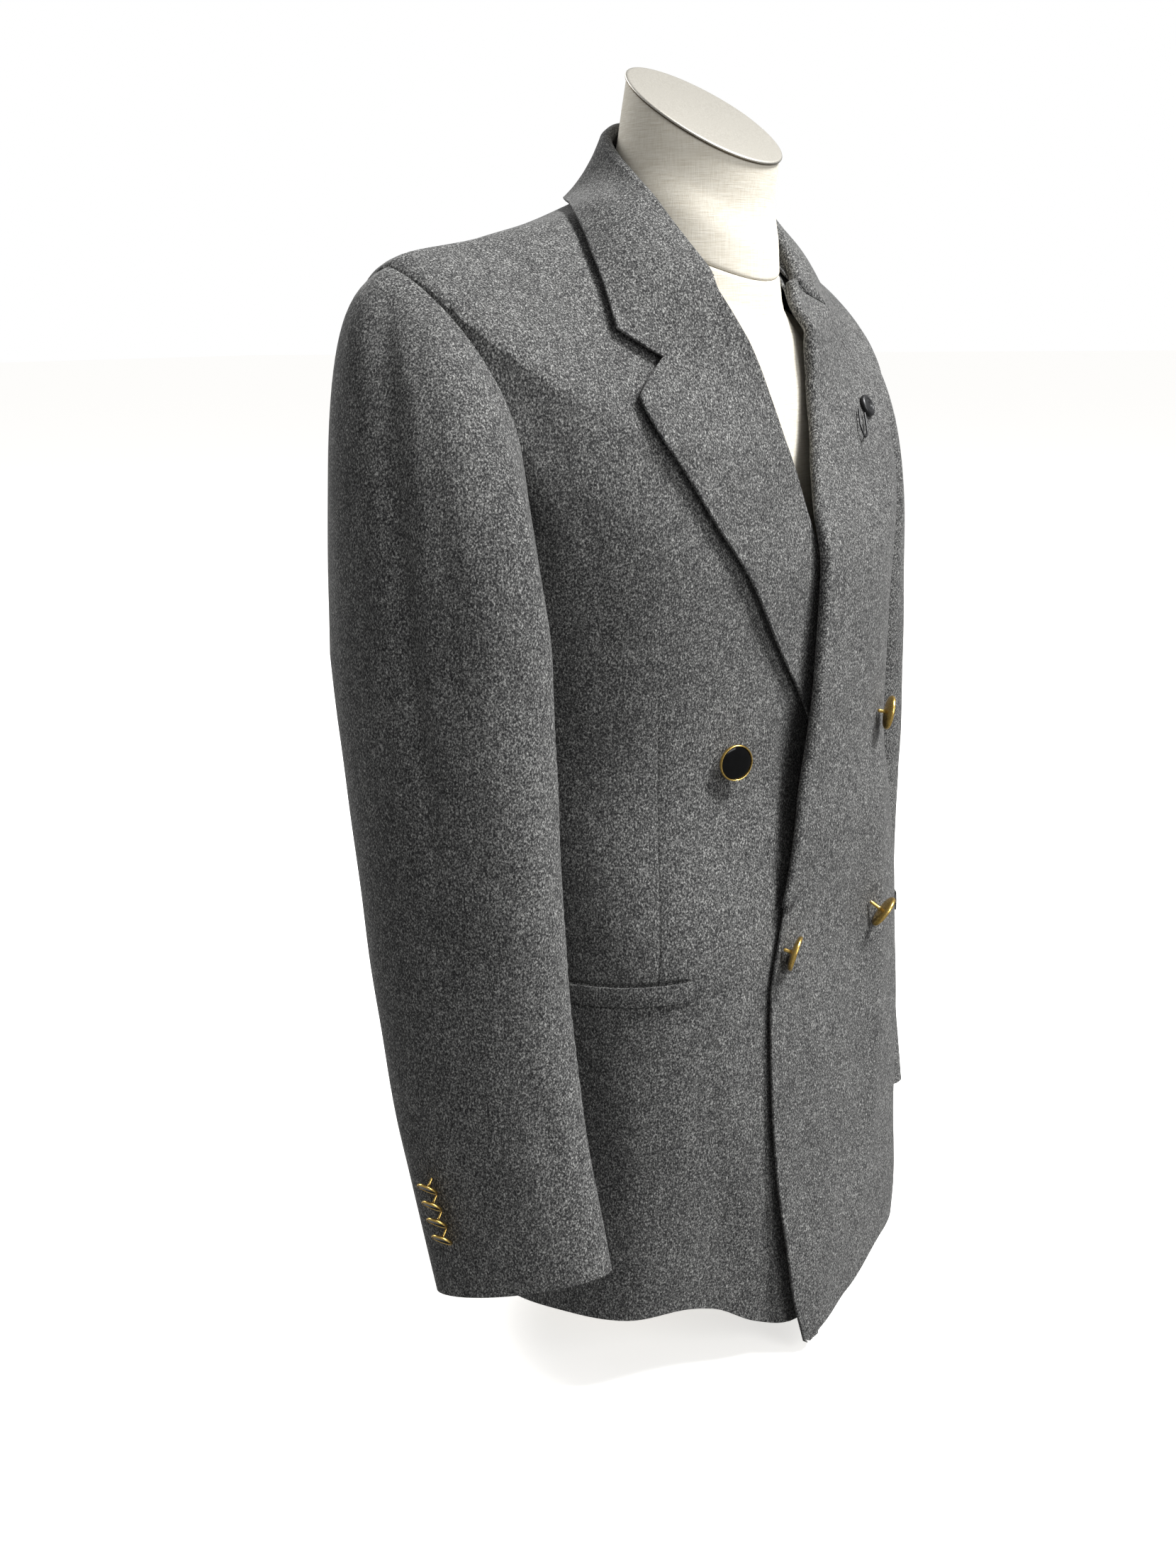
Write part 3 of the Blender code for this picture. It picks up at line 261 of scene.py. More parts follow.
def makeFinish(name):
    # a hard finish whose grain sets its shade, its roughness and a very low relief
    finish = finishes[name]
    made, tree, shader = newMaterial(name)
    for key, value in finish["shader"].items():
        shader.inputs[key].default_value = value
    metres = node(tree, "ShaderNodeTexCoord").outputs["Object"]
    along = node(tree, "ShaderNodeMapping", links={"Vector": metres}, Scale=finish["stretch"]).outputs["Vector"]
    grain = node(tree, "ShaderNodeTexNoise", links={"Vector": along}, Scale=1 / finish["grain"], Detail=4.0,
                 Roughness=0.6, Distortion=0.2).outputs["Fac"]
    dark, light = finish["shades"]
    colour = node(tree, "ShaderNodeValToRGB", links={"Fac": grain}, stops=[(0.3, dark), (0.7, light)])
    tree.links.new(colour.outputs["Color"], shader.inputs["Base Color"])
    low, high = finish["rough"]
    rough = node(tree, "ShaderNodeMapRange", links={"Value": grain}, To_Min=low, To_Max=high)
    tree.links.new(rough.outputs["Result"], shader.inputs["Roughness"])
    relief = node(tree, "ShaderNodeBump", links={"Height": grain}, Strength=0.8, Distance=finish["bump"])
    tree.links.new(relief.outputs["Normal"], shader.inputs["Normal"])
    return made


wool = makeFlannel()
formLinen = makeLinen()
giltBrass = makeFinish("gildedBrass")
blackEnamel = makeFinish("blackVitreousEnamel")
capSteel = makeFinish("brushedNickelSteel")
rimBronze = makeFinish("tarnishedBronze")
blackZinc = makeFinish("blackPaintedZinc")
waxedBeech = makeFinish("waxedBeech")
print("materials made")


# the body surface that every cloth panel lies on

ringNames = ("frontZ", "sideZ", "backZ", "frontY", "sideY", "backY", "sideX", "frontSquare", "backSquare", "fall")
body = {
    "seam": 0.0003, "hem": 0.017, "hemTilt": 0.015, "armpit": 0.540, "shoulderTip": 0.610, "neck": 0.714,
    "cloth": 0.0020,
    "rings": columns(ringNames, [
        (0.017, 0.030, 0.027, -0.148, -0.008, 0.112, 0.183, 2.8, 2.4, 2.0),
        (0.130, 0.132, 0.132, -0.150, -0.008, 0.118, 0.183, 3.0, 2.4, 2.0),
        (0.288, 0.288, 0.288, -0.147, -0.008, 0.108, 0.182, 3.2, 2.4, 2.0),
        (0.420, 0.420, 0.420, -0.132, -0.005, 0.092, 0.180, 2.5, 2.3, 2.0),
        (0.500, 0.500, 0.500, -0.134, -0.002, 0.100, 0.193, 2.5, 2.3, 2.0),
        (0.540, 0.545, 0.545, -0.136, 0.000, 0.105, 0.206, 2.5, 2.3, 2.0),
        (0.575, 0.660, 0.620, -0.131, 0.010, 0.104, 0.236, 2.5, 2.4, 1.5),
        (0.610, 0.738, 0.690, -0.127, 0.020, 0.094, 0.242, 2.5, 2.5, 1.3),
        (0.662, 0.757, 0.744, -0.118, 0.006, 0.068, 0.162, 2.3, 2.3, 1.3),
        (0.714, 0.776, 0.786, -0.118, -0.012, 0.028, 0.074, 3.0, 2.2, 1.3),
    ]),
    "skirtFolds": columns(("angle", "width", "depth", "top"), [
        (-62, 16, 0.007, 0.26), (-38, 11, -0.010, 0.26), (-14, 14, 0.008, 0.22),
        (60, 16, 0.008, 0.25), (38, 14, -0.006, 0.22), (100, 16, 0.006, 0.20),
        (-100, 14, -0.006, 0.20), (150, 18, 0.007, 0.22), (172, 12, -0.006, 0.22),
        (-160, 14, 0.006, 0.20), (-130, 16, -0.005, 0.20), (128, 14, -0.005, 0.20),
    ]),
    "hemRise": columns(("angle", "rise"), [
        (-180, 0.018), (-130, 0.014), (-87, 0.011), (-70, 0.016), (-56, 0.019), (-44, 0.024),
        (-36, 0.021), (-26, 0.008), (-15, 0.000), (3, 0.005), (22, 0.0285), (45, 0.034), (90, 0.036),
        (130, 0.028), (180, 0.018),
    ]),
    "hemRiseFades": 0.27,
    "standOff": columns(("level", "gap"), [
        (0.017, 0.0120), (0.064, 0.0130), (0.130, 0.0080), (0.190, 0.0060), (0.289, 0.0048),
        (0.317, 0.0070), (0.340, 0.0105), (0.380, 0.0160), (0.450, 0.0170), (0.500, 0.0150),
        (0.530, 0.0130), (0.560, 0.0110), (0.590, 0.0040), (0.615, -0.0020), (0.660, -0.0060),
        (0.690, -0.0080), (0.714, -0.0030),
    ]),
    "standOffFull": 28.0, "standOffEnds": 60.0,
    "neckLevel": 0.690, "neckShift": (-0.014, 0.010, -0.001),
    "cornerDrop": columns(("angle", "drop"), [(-18.0, 0.0165), (-8.0, 0.0080), (4.0, 0.0), (90.0, 0.0)]),
    "unevenSize": 0.055, "unevenDepth": 0.0007,
}
body["perDegree"] = 0.0033     # metres round the body for one degree, near enough for placing creases

# troughs (minus) and ridges (plus) of the cloth: (degrees from the centre front to the left, level), width and depth
bodyCreases = [
    ([(-39.5, 0.277), (-38, 0.211), (-34.5, 0.107), (-31, 0.030)], 0.012, -0.0018),      # below the right pocket
    ([(-15, 0.470), (-14, 0.404), (-16.5, 0.345)], 0.006, 0.0010),
    ([(-56, 0.560), (-55, 0.500), (-57, 0.440)], 0.014, -0.0014),
    ([(-58, 0.254), (-55, 0.144), (-54, 0.037)], 0.016, 0.0018),
    ([(27, 0.410), (23.6, 0.329), (22.7, 0.239), (17, 0.141), (7, 0.075)], 0.010, 0.0020),  # down the left front
    ([(14, 0.400), (12, 0.300), (9, 0.190)], 0.012, -0.0012),
    ([(26, 0.455), (27.5, 0.433), (26.5, 0.412)], 0.0035, -0.0014),      # pucker at a button
    ([(-15.4, 0.290), (-12.3, 0.309), (-6.6, 0.326), (0, 0.336)], 0.0045, 0.0012),
    ([(-12.8, 0.250), (-13.6, 0.159), (-12.3, 0.080)], 0.010, -0.0012),
    ([(46, 0.262), (43, 0.180), (40, 0.070)], 0.013, -0.0017),
    ([(120, 0.560), (128, 0.490), (137, 0.425)], 0.013, -0.0022),         # shoulder blades to waist
    ([(-117, 0.570), (-125, 0.500), (-133, 0.430)], 0.012, -0.0019),
    ([(98, 0.440), (119, 0.431), (141, 0.437)], 0.008, -0.0015),          # round the waist
    ([(-101, 0.431), (-120, 0.421), (-138, 0.429)], 0.009, -0.0013),
    ([(172, 0.520), (168, 0.430), (173, 0.340), (169, 0.200)], 0.012, 0.0016),
    ([(-169, 0.480), (-166, 0.390), (-171, 0.280)], 0.011, -0.0014),
    ([(106, 0.350), (112, 0.230), (109, 0.080)], 0.014, -0.0016),
    ([(-95, 0.330), (-103, 0.210), (-99, 0.090)], 0.014, 0.0016),
    ([(-176, 0.690), (-165, 0.664), (-146, 0.655)], 0.008, -0.0014),      # below the collar at the back
    ([(170, 0.676), (154, 0.652), (140, 0.650)], 0.009, -0.0012),
    ([(-62, 0.596), (-78, 0.610), (-90, 0.612), (-106, 0.606)], 0.015, -0.0013),     # the shoulders round off
    ([(62, 0.596), (78, 0.610), (90, 0.612), (106, 0.606)], 0.015, -0.0013),
    ([(-73, 0.597), (-64, 0.576), (-58, 0.552), (-57, 0.530)], 0.016, 0.0036),       # fullness before the armholes
    ([(73, 0.597), (64, 0.576), (58, 0.552), (57, 0.530)], 0.016, 0.0036),
]


def ringPoint(tab, angle, level):
    # a point on a surface of rings: each is a squared oval whose height falls from side to front
    a = np.radians(angle)
    row = {name: lookUp(tab, "frontZ", name, level) for name in ringNames}
    front = np.cos(a) >= 0
    square = np.where(front, row["frontSquare"], row["backSquare"])
    s, c = np.abs(np.sin(a)), np.abs(np.cos(a))
    k = (s**square + c**square) ** (-1 / square)
    depth = c * k
    reachY = np.where(front, row["frontY"], row["backY"]) - row["sideY"]
    reachZ = np.where(front, row["frontZ"], row["backZ"]) - row["sideZ"]
    x = row["sideX"] * np.sin(a) * k
    y = row["sideY"] + reachY * depth
    z = row["sideZ"] + reachZ * depth ** row["fall"]
    return np.stack([x, y, z], -1)


def bodyPoint(angle, level):
    angle, level = np.broadcast_arrays(np.asarray(angle, float), np.asarray(level, float))
    p = ringPoint(body["rings"], angle, level)
    low = np.clip(1 - level / 0.42, 0, 1) ** 1.5
    p[..., 2] -= body["hemTilt"] * low * np.sin(np.radians(angle))
    swell = np.zeros(angle.shape)
    for at, width, depth, top in zip(*body["skirtFolds"].values()):
        off = ((angle - at + 180) % 360 - 180) / width
        swell += depth * np.exp(-off**2) * np.clip(1 - level / top, 0, 1) ** 1.3
    out = p - np.stack([0 * angle, 0 * angle + lookUp(body["rings"], "frontZ", "sideY", level), p[..., 2]], -1)
    return p + unit(out) * swell[..., None]


def bodyNormal(angle, level):
    roundBody = bodyPoint(angle + 0.02, level) - bodyPoint(angle - 0.02, level)
    upBody = bodyPoint(angle, level + 0.0002) - bodyPoint(angle, level - 0.0002)
    return unit(np.cross(roundBody, upBody))


def panelBase(side, own, level):
    # a point and its normal on one side's cloth before its creases, with its angle and level on the body
    angle, level = np.broadcast_arrays(side * np.asarray(own, float), np.asarray(level, float))
    around = (angle + 180) % 360 - 180
    level = level + lookUp(body["hemRise"], "angle", "rise", around) * np.clip(
        (body["hemRiseFades"] - level) / (body["hemRiseFades"] - body["hem"]), 0, 1)
    p = bodyPoint(angle, level)
    n = bodyNormal(angle, level)
    gap = np.zeros(angle.shape)
    if side > 0:
        fade = ease((body["standOffEnds"] - angle) / (body["standOffEnds"] - body["standOffFull"]))
        gap = lookUp(body["standOff"], "level", "gap", level) * fade
        drop = lookUp(body["cornerDrop"], "angle", "drop", angle) * np.clip(1 - level / 0.25, 0, 1) ** 2
        p = p - np.stack([0 * drop, 0 * drop, drop], -1)
        close = ease((level - body["neckLevel"]) / 0.018) * ease((85 - angle) / 40)
        p = p + close[..., None] * np.array(body["neckShift"])
    return p + n * gap[..., None], n, around, level


def panelPoint(side, own, level, height=0.0):
    # the same point with the creases, height above the cloth's face
    p, n, around, level = panelBase(side, own, level)
    rise = height + strokes(bodyCreases, around, level, body["perDegree"], 360 * body["perDegree"])
    rise = rise + body["unevenDepth"] * uneven(p, body["unevenSize"])
    return p + n * rise[..., None]


def panelNormal(side, own, level):
    own, level = np.broadcast_arrays(np.asarray(own, float), np.asarray(level, float))
    roundBody = panelBase(side, own + 0.05, level)[0] - panelBase(side, own - 0.05, level)[0]
    upBody = panelBase(side, own, level + 0.0004)[0] - panelBase(side, own, level - 0.0004)[0]
    return unit(np.cross(roundBody, upBody) * side)


# meshes

def addPiece(name, vertices, faces, materials, slotName, replaced, body="root", which=None):
    mesh = bpy.data.meshes.new(name)
    mesh.from_pydata([tuple(v) for v in np.asarray(vertices).tolist()], [], faces)
    work = bmesh.new()
    work.from_mesh(mesh)
    bmesh.ops.recalc_face_normals(work, faces=work.faces)
    work.to_mesh(mesh)
    work.free()
    for material in materials:
        mesh.materials.append(material)
    if which is not None:
        mesh.polygons.foreach_set("material_index", which)
    mesh.shade_smooth()
    made = bpy.data.objects.new(name, mesh)
    scene.collection.objects.link(made)
    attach(made, body)
    if replaced:
        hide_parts(*replaced)
    return made


def gridNormals(face, like):
    # normals of a grid on the same side as like, a grid of rough normals
    n = unit(np.cross(np.gradient(face, axis=1), np.gradient(face, axis=0)))
    return n * np.where(np.sum(n * like, -1, keepdims=True) < 0, -1.0, 1.0)


def clothWall(name, face, like, replaced, sewn=(), thick=None, dip=0.0004, turnIn=0.0004, sunk=1.0):
    # closed cloth: the face, its inner copy and a rounded edge; sewn edges sink into the seam by dip times sunk
    thick = body["cloth"] if thick is None else thick
    n = gridNormals(face, like)
    outer = face.copy()
    rows, cols = face.shape[:2]
    sink = np.zeros((rows, cols))
    for edge in sewn:
        for k, share in enumerate((1.0, 0.45, 0.10)):
            if edge == "first":
                sink[k] = np.maximum(sink[k], share)
            if edge == "last":
                sink[-1 - k] = np.maximum(sink[-1 - k], share)
            if edge == "left":
                sink[:, k] = np.maximum(sink[:, k], share)
            if edge == "right":
                sink[:, -1 - k] = np.maximum(sink[:, -1 - k], share)
    outer -= n * (sink * sunk * dip)[..., None]
    inner = face - n * thick
    gap = body["seam"] / 2
    for grid in (outer, inner):
        grid[0] += unit(grid[1] - grid[0]) * gap
        grid[-1] += unit(grid[-2] - grid[-1]) * gap
        grid[:, 0] += unit(grid[:, 1] - grid[:, 0]) * gap
        grid[:, -1] += unit(grid[:, -2] - grid[:, -1]) * gap
    count = rows * cols
    index = np.arange(count).reshape(rows, cols)
    quads = np.stack([index[:-1, :-1], index[:-1, 1:], index[1:, 1:], index[1:, :-1]], -1).reshape(-1, 4)
    edge = np.concatenate([index[0], index[1:, -1], index[-1, -2::-1], index[-2:0:-1, 0]])
    # free edges stand a little proud in a half round; pull their rims in so that the bead keeps the cut line
    flatOuter, flatInner, flatN = outer.reshape(-1, 3), inner.reshape(-1, 3), n.reshape(-1, 3)
    after, before = np.roll(edge, -1), np.roll(edge, 1)
    along = unit(flatOuter[after] - flatOuter[before])
    outward = unit(np.cross(along, flatN[edge]))
    innerSide = np.concatenate([index[1], index[1:, -2], index[-2, -2::-1], index[-2:0:-1, 1]])
    outward *= np.where(np.sum(outward * (flatOuter[edge] - flatOuter[innerSide]), -1, keepdims=True) < 0, -1.0, 1.0)
    bead = []
    for turn in (0.25, 0.5, 0.75):
        bulge = math.sin(math.pi * turn) * turnIn
        bead.append(flatOuter[edge] + (flatInner[edge] - flatOuter[edge]) * turn + outward * bulge)
    vertices = np.concatenate([flatOuter, flatInner] + bead)
    strips = [edge] + [2 * count + k * len(edge) + np.arange(len(edge)) for k in range(3)] + [count + edge]
    rim = [np.stack([a, b, np.roll(b, -1), np.roll(a, -1)], -1) for a, b in zip(strips, strips[1:])]
    faces = np.concatenate([quads, quads[:, ::-1] + count] + rim).tolist()
    return addPiece(name, vertices, faces, [wool], "flannel", replaced)


# fronts, sides and backs

armhole = {"front": 0.50, "back": 0.46, "frontStart": 0.034, "backStart": 0.284}
panels = {"frontSideHem": 93.0, "backSideHem": 130.0, "lowRows": 96, "armRows": 54, "topRows": 26,
          "frontCols": 64, "backCols": 46, "sideCols": 22, "sideRows": 100}
frontEdge = {
    -1: columns(("level", "angle"), [
        (0.017, -23.0), (0.317, -23.5), (0.390, -16.3), (0.470, -7.9), (0.543, -0.2), (0.580, 3.3),
        (0.620, 6.9), (0.640, 9.5), (0.660, 14.4), (0.680, 23.0), (0.690, 30.0), (0.700, 38.8),
        (0.7101, 50.6), (0.714, 61.0)]),
    1: columns(("level", "angle"), [
        (0.017, -15.4), (0.064, -19.6), (0.190, -23.0), (0.240, -22.8), (0.262, -22.4), (0.300, -19.4),
        (0.3175, -17.8), (0.340, -15.4), (0.375, -12.4), (0.420, -8.2), (0.460, -5.4), (0.500, -3.3),
        (0.530, -2.2), (0.560, -0.9), (0.582, 1.0), (0.615, 5.0), (0.640, 9.2), (0.662, 13.8),
        (0.680, 17.2), (0.690, 21.0), (0.700, 31.3), (0.7101, 43.3), (0.714, 57.5)]),
}
# the front's dart runs down to the pocket: level and angle
dart = columns(("level", "angle"), [(0.2850, 48.6), (0.3854, 45.7), (0.4817, 43.9), (0.500, 43.6)])


def armholePlace(share, which):
    # share 0 is the bottom of the armhole, 1 the shoulder point; gives angle and level
    cut = armhole[which]
    turn = share * math.pi
    low, high = body["armpit"], body["shoulderTip"]
    level = (low + high) / 2 - (high - low) / 2 * np.cos(turn)
    depth = cut * np.sin(turn) ** 0.7
    square = lookUp(body["rings"], "frontZ", which + "Square", level)
    across = (1 - depth**square) ** (1 / square)
    angle = np.degrees(np.arctan2(across, depth))
    return (angle if which == "front" else 180 - angle), level


frontSide, frontTop = (float(v) for v in armholePlace(armhole["frontStart"], "front"))
backSide, backTop = (float(v) for v in armholePlace(armhole["backStart"], "back"))


def edgeAngle(side, level):
    return lookUp(frontEdge[side], "level", "angle", level)


def sideSeam(level, hemAngle, topAngle, topLevel):
    return hemAngle + (topAngle - hemAngle) * ease((level - 0.25) / (topLevel - 0.25))


welt = {
    "front": 41.4, "back": 86.0, "top": 0.2850, "height": 0.0135, "slope": 0.002, "thick": 0.0016,
    "rows": 9, "cols": 60, "full": 0.0006,
    "near": (-0.0030, -0.0014, -0.0006, 0.0, 0.0006, 0.0014, 0.0030),     # the front's rows beside each long edge
    "mouthRise": 0.0006,       # those of the top edge lie this much higher
    "clear": 0.0015,           # and no other row comes nearer to them
    "settle": 0.012,           # the front's rows follow the welt's slope over this height
    "mouth": {"deep": 0.0020, "off": 0.0003, "reach": 0.0013},            # the front sinks along the top edge
    "foot": {"deep": 0.0010, "off": 0.0003, "reach": 0.0009},             # and less along the lower one
}
# how the dart is drawn in: levels where it starts and ends, columns over which the cloth follows it, the close
# columns beside it with their angles, and how deep its seam sinks on each of the middle ones
dartShape = {"from": 0.275, "upTo": 0.53, "spread": 7.0, "beside": ((-2, -0.62), (-1, -0.20), (1, 0.20), (2, 0.62)),
             "deep": 0.0009, "shares": ((-1, 0.35), (0, 1.0), (1, 0.35)), "top": 0.4817}


def panelRows(which, start, hemAngle):
    # levels of a panel's rows and the angle of its outer edge on each, closer together at the hem
    armAngle, armLevel = armholePlace(np.linspace(start, 1.0, panels["armRows"]), which)
    low = body["hem"] + (armLevel[0] - body["hem"]) * spaced(panels["lowRows"], 0.52)[:-1]
    top = np.linspace(body["shoulderTip"], body["neck"], panels["topRows"] + 1)[1:]
    level = np.concatenate([low, armLevel, top])
    outer = np.concatenate([sideSeam(low, hemAngle, armAngle[0], armLevel[0]), armAngle, np.full(len(top), 90.0)])
    return level, outer


def shoulderFlat(level):
    # the armhole seam is pressed flat over the shoulder, so nothing sinks there
    return (1 - ease((level - 0.548) / 0.015) * ease((0.640 - level) / 0.02))[:, None]


def frontPanel(side, name, node):
    level, outer = panelRows("front", armhole["frontStart"], panels["frontSideHem"])
    # closer rows along both edges of the welt, where the cloth sinks
    near = np.array(welt["near"])
    mouth = np.concatenate([welt["top"] - welt["height"] + near, welt["top"] + welt["mouthRise"] + near])
    keep = (level < mouth[0] - welt["clear"]) | (level > mouth[-1] + welt["clear"])
    rest = level[keep]
    outer = np.concatenate([outer[keep][rest < mouth[0]], np.interp(mouth, level, outer),
                            outer[keep][rest > mouth[0]]])
    level = np.concatenate([rest[rest < mouth[0]], mouth, rest[rest > mouth[0]]])
    inner = edgeAngle(side, level)
    share = spaced(panels["frontCols"], 0.30)
    own = inner[:, None] + (outer - inner)[:, None] * share
    levels = np.repeat(level[:, None], len(share), 1)
    # one column is drawn over to the dart, and sewn into it
    reach = ease((level - dartShape["from"]) / 0.01) * ease((dartShape["upTo"] - level) / 0.02)
    target = lookUp(dart, "level", "angle", level)
    k = int(np.argmin(np.abs(own[len(level) // 3] - target[len(level) // 3])))
    shift = (target - own[:, k]) * reach
    spread = np.exp(-((np.arange(len(share)) - k) / dartShape["spread"]) ** 2)
    own = own + shift[:, None] * spread
    for off, gap in dartShape["beside"]:
        own[:, k + off] += (own[:, k] + gap - own[:, k + off]) * reach
    along = np.clip((own - welt["front"]) / (welt["back"] - welt["front"]), 0, 1)
    away = np.maximum(0, np.abs(levels - welt["top"] + welt["height"] / 2) - welt["height"] / 2)
    levels = levels - welt["slope"] * np.sin(math.pi * along) * np.exp(-(away / welt["settle"]) ** 2)
    above = levels - welt["top"] + welt["slope"] * np.sin(math.pi * along)
    inside = (along > 0) * (along < 1)
    upper, lower = welt["mouth"], welt["foot"]
    sunkIn = upper["deep"] * np.exp(-((above - upper["off"]) / upper["reach"]) ** 2) * inside
    below = above + welt["height"]
    sunkIn = sunkIn + lower["deep"] * np.exp(-((below + lower["off"]) / lower["reach"]) ** 2) * inside
    face = panelPoint(side, own, levels, -sunkIn)
    n = panelNormal(side, own, levels)
    sunk = ease((level - 0.279) / 0.006) * ease((dartShape["top"] - level) / 0.06 + 0.1)
    for off, part in dartShape["shares"]:
        face[:, k + off] -= n[:, k + off] * (dartShape["deep"] * part * sunk)[:, None]
    return clothWall(name, face, n, [node], sewn=("last", "right"), sunk=shoulderFlat(level))


def backPanel(side, name, node):
    level, outer = panelRows("back", armhole["backStart"], panels["backSideHem"])
    share = spaced(panels["backCols"], 0.20)
    own = 180.0 + (outer - 180.0)[:, None] * share
    levels = np.repeat(level[:, None], len(share), 1)
    return clothWall(name, panelPoint(side, own, levels), panelNormal(side, own, levels), [node],
                     sewn=("last", "left", "right"), sunk=shoulderFlat(level))


def sidePanel(side, name, node):
    across = spaced(panels["sideCols"], 0.12)
    upward = spaced(panels["sideRows"], 0.52)[:, None]
    levels = body["hem"] + upward * (frontTop + (backTop - frontTop) * across - body["hem"])
    first = sideSeam(levels[:, :1], panels["frontSideHem"], frontSide, frontTop)
    last = sideSeam(levels[:, -1:], panels["backSideHem"], backSide, backTop)
    own = first + (last - first) * across
    return clothWall(name, panelPoint(side, own, levels), panelNormal(side, own, levels), [node],
                     sewn=("last", "left", "right"))


pieces = {}
for side, word in ((-1, "right"), (1, "left")):
    pieces["front", side] = frontPanel(side, "wool_front_" + word, "front_" + word)
    pieces["back", side] = backPanel(side, "wool_back_" + word, "back_" + word)
    pieces["side", side] = sidePanel(side, "wool_side_" + word, "side_" + word)
print("body panels sewn")


# lapels and collar

turned = {
    "gorge": 0.7101, "break": 0.3175, "height": 0.0065, "tail": 0.0030,
    "foldSteps": 13, "gorgeSteps": 22, "tipSteps": 15, "notchShare": 0.62, "rows": 96,
    "notch": (40.5, 0.6540), "collarTip": (51.2, 0.6547),
    "collarRoll": 0.0045, "collarHeight": 0.0055, "collarRows": 9, "collarStep": 0.0045,
    "footDrop": 0.0012,       # the stand's foot goes this far below the neck edge, so that no light shows under it
}
lapelEdge = {
    -1: columns(("share", "angle", "level"), [
        (0.00, 39.9, 0.6294), (0.04, 36.0, 0.6176), (0.09, 32.0, 0.6024), (0.17, 27.7, 0.5803),
        (0.30, 22.4, 0.5450), (0.46, 14.7, 0.4985), (0.64, 3.8, 0.4471), (0.82, -9.5, 0.3850),
        (1.00, -22.6, 0.3190)]),
    1: columns(("share", "angle", "level"), [
        (0.00, 39.9, 0.6294), (0.04, 36.4, 0.6176), (0.09, 32.8, 0.6024), (0.17, 27.0, 0.5803),
        (0.28, 18.6, 0.5441), (0.46, 12.6, 0.4900), (0.64, 9.0, 0.4400), (0.80, 2.0, 0.3780),
        (0.92, -8.0, 0.3400), (1.00, -16.4, 0.3190)]),
}
collar = columns(("rollX", "rollY", "rollZ", "edgeAngle", "edgeLevel", "footAngle", "bulge",
                  "leftIn", "leftBack", "leftDown"), [
    (0.000, 0.0150, 0.8310, 180.0, 0.7020, 180.0, 0.0020, 0.0, 0.0, 0.0),
    (0.036, 0.0045, 0.8225, 150.0, 0.7095, 150.0, -0.0020, 0.0, 0.0, 0.0),
    (0.0600, -0.0240, 0.8020, 113.0, 0.7095, 110.0, -0.0020, 0.0, 0.0, 0.0),
    (0.0680, -0.0480, 0.7840, 89.6, 0.7013, 80.0, 0.0040, 0.0, 0.0, 0.0),
    (0.0710, -0.0730, 0.7580, 73.2, 0.6871, 66.0, 0.0070, 0.005, 0.000, 0.007),
    (0.0700, -0.0930, 0.7360, 63.1, 0.6753, 55.0, 0.0060, 0.012, 0.006, 0.005),
])


def fold(centre, radius, towards, up):
    # half round from the under side to the upper side of a fold, with its normals
    turn = np.linspace(0, math.pi, turned["foldSteps"])[:, None]
    spoke = -up * np.cos(turn) - towards * np.sin(turn)
    return centre + spoke * radius, spoke


def turnedRow(side, angle, level, height):
    # one row of turned-back cloth along a path of angles and levels on the front's face
    path = panelPoint(side, angle, level, height)
    upward = panelNormal(side, angle, level)
    root = panelPoint(side, angle[0], level[0])
    towards = path[1] - path[0]
    towards = unit(towards - upward[0] * np.dot(towards, upward[0]))
    middle = (height - body["cloth"]) / 2
    start = root + upward[0] * middle - towards * 6 * body["seam"]
    around, spokes = fold(start, middle + body["cloth"], towards, upward[0])
    return np.concatenate([around, path[1:]]), np.concatenate([spokes, upward[1:]])


def brokenPath(first, bend, last):
    share = np.concatenate([np.linspace(0, 1, turned["gorgeSteps"] + 1),
                            2 - (1 - np.linspace(0, 1, turned["tipSteps"] + 1)[1:]) ** 1.25])
    points = np.array([first, bend, last])
    return (np.interp(share, [0, 1, 2], points[:, 0]), np.interp(share, [0, 1, 2], points[:, 1]))


# the seam sinks between the fold and the notch
gorgeSeam = np.zeros(turned["foldSteps"] + turned["gorgeSteps"] + turned["tipSteps"])
gorgeSeam[turned["foldSteps"] + 2:turned["foldSteps"] + turned["gorgeSteps"] - 1] = 1.0


# collar and lapel roll over as one: the fold's shift at the gorge, and the share of the lapel over which it fades
rollRun = {-1: ((0.0, -0.0101, -0.0075), 0.02), 1: ((0.0041, 0.0003, 0.0011), 0.03)}


def rollOn(side, row, down):
    shift, reach = rollRun[side]
    over = np.clip((np.arange(len(row)) - turned["foldSteps"]) / turned["gorgeSteps"], 0, 1)
    return row + ((1 - ease(over)) * max(0.0, 1 - down / reach) ** 1.5)[:, None] * np.array(shift)


def lapelHeight(level):
    return turned["tail"] + (turned["height"] - turned["tail"]) * ease((level - turned["break"]) / 0.10)


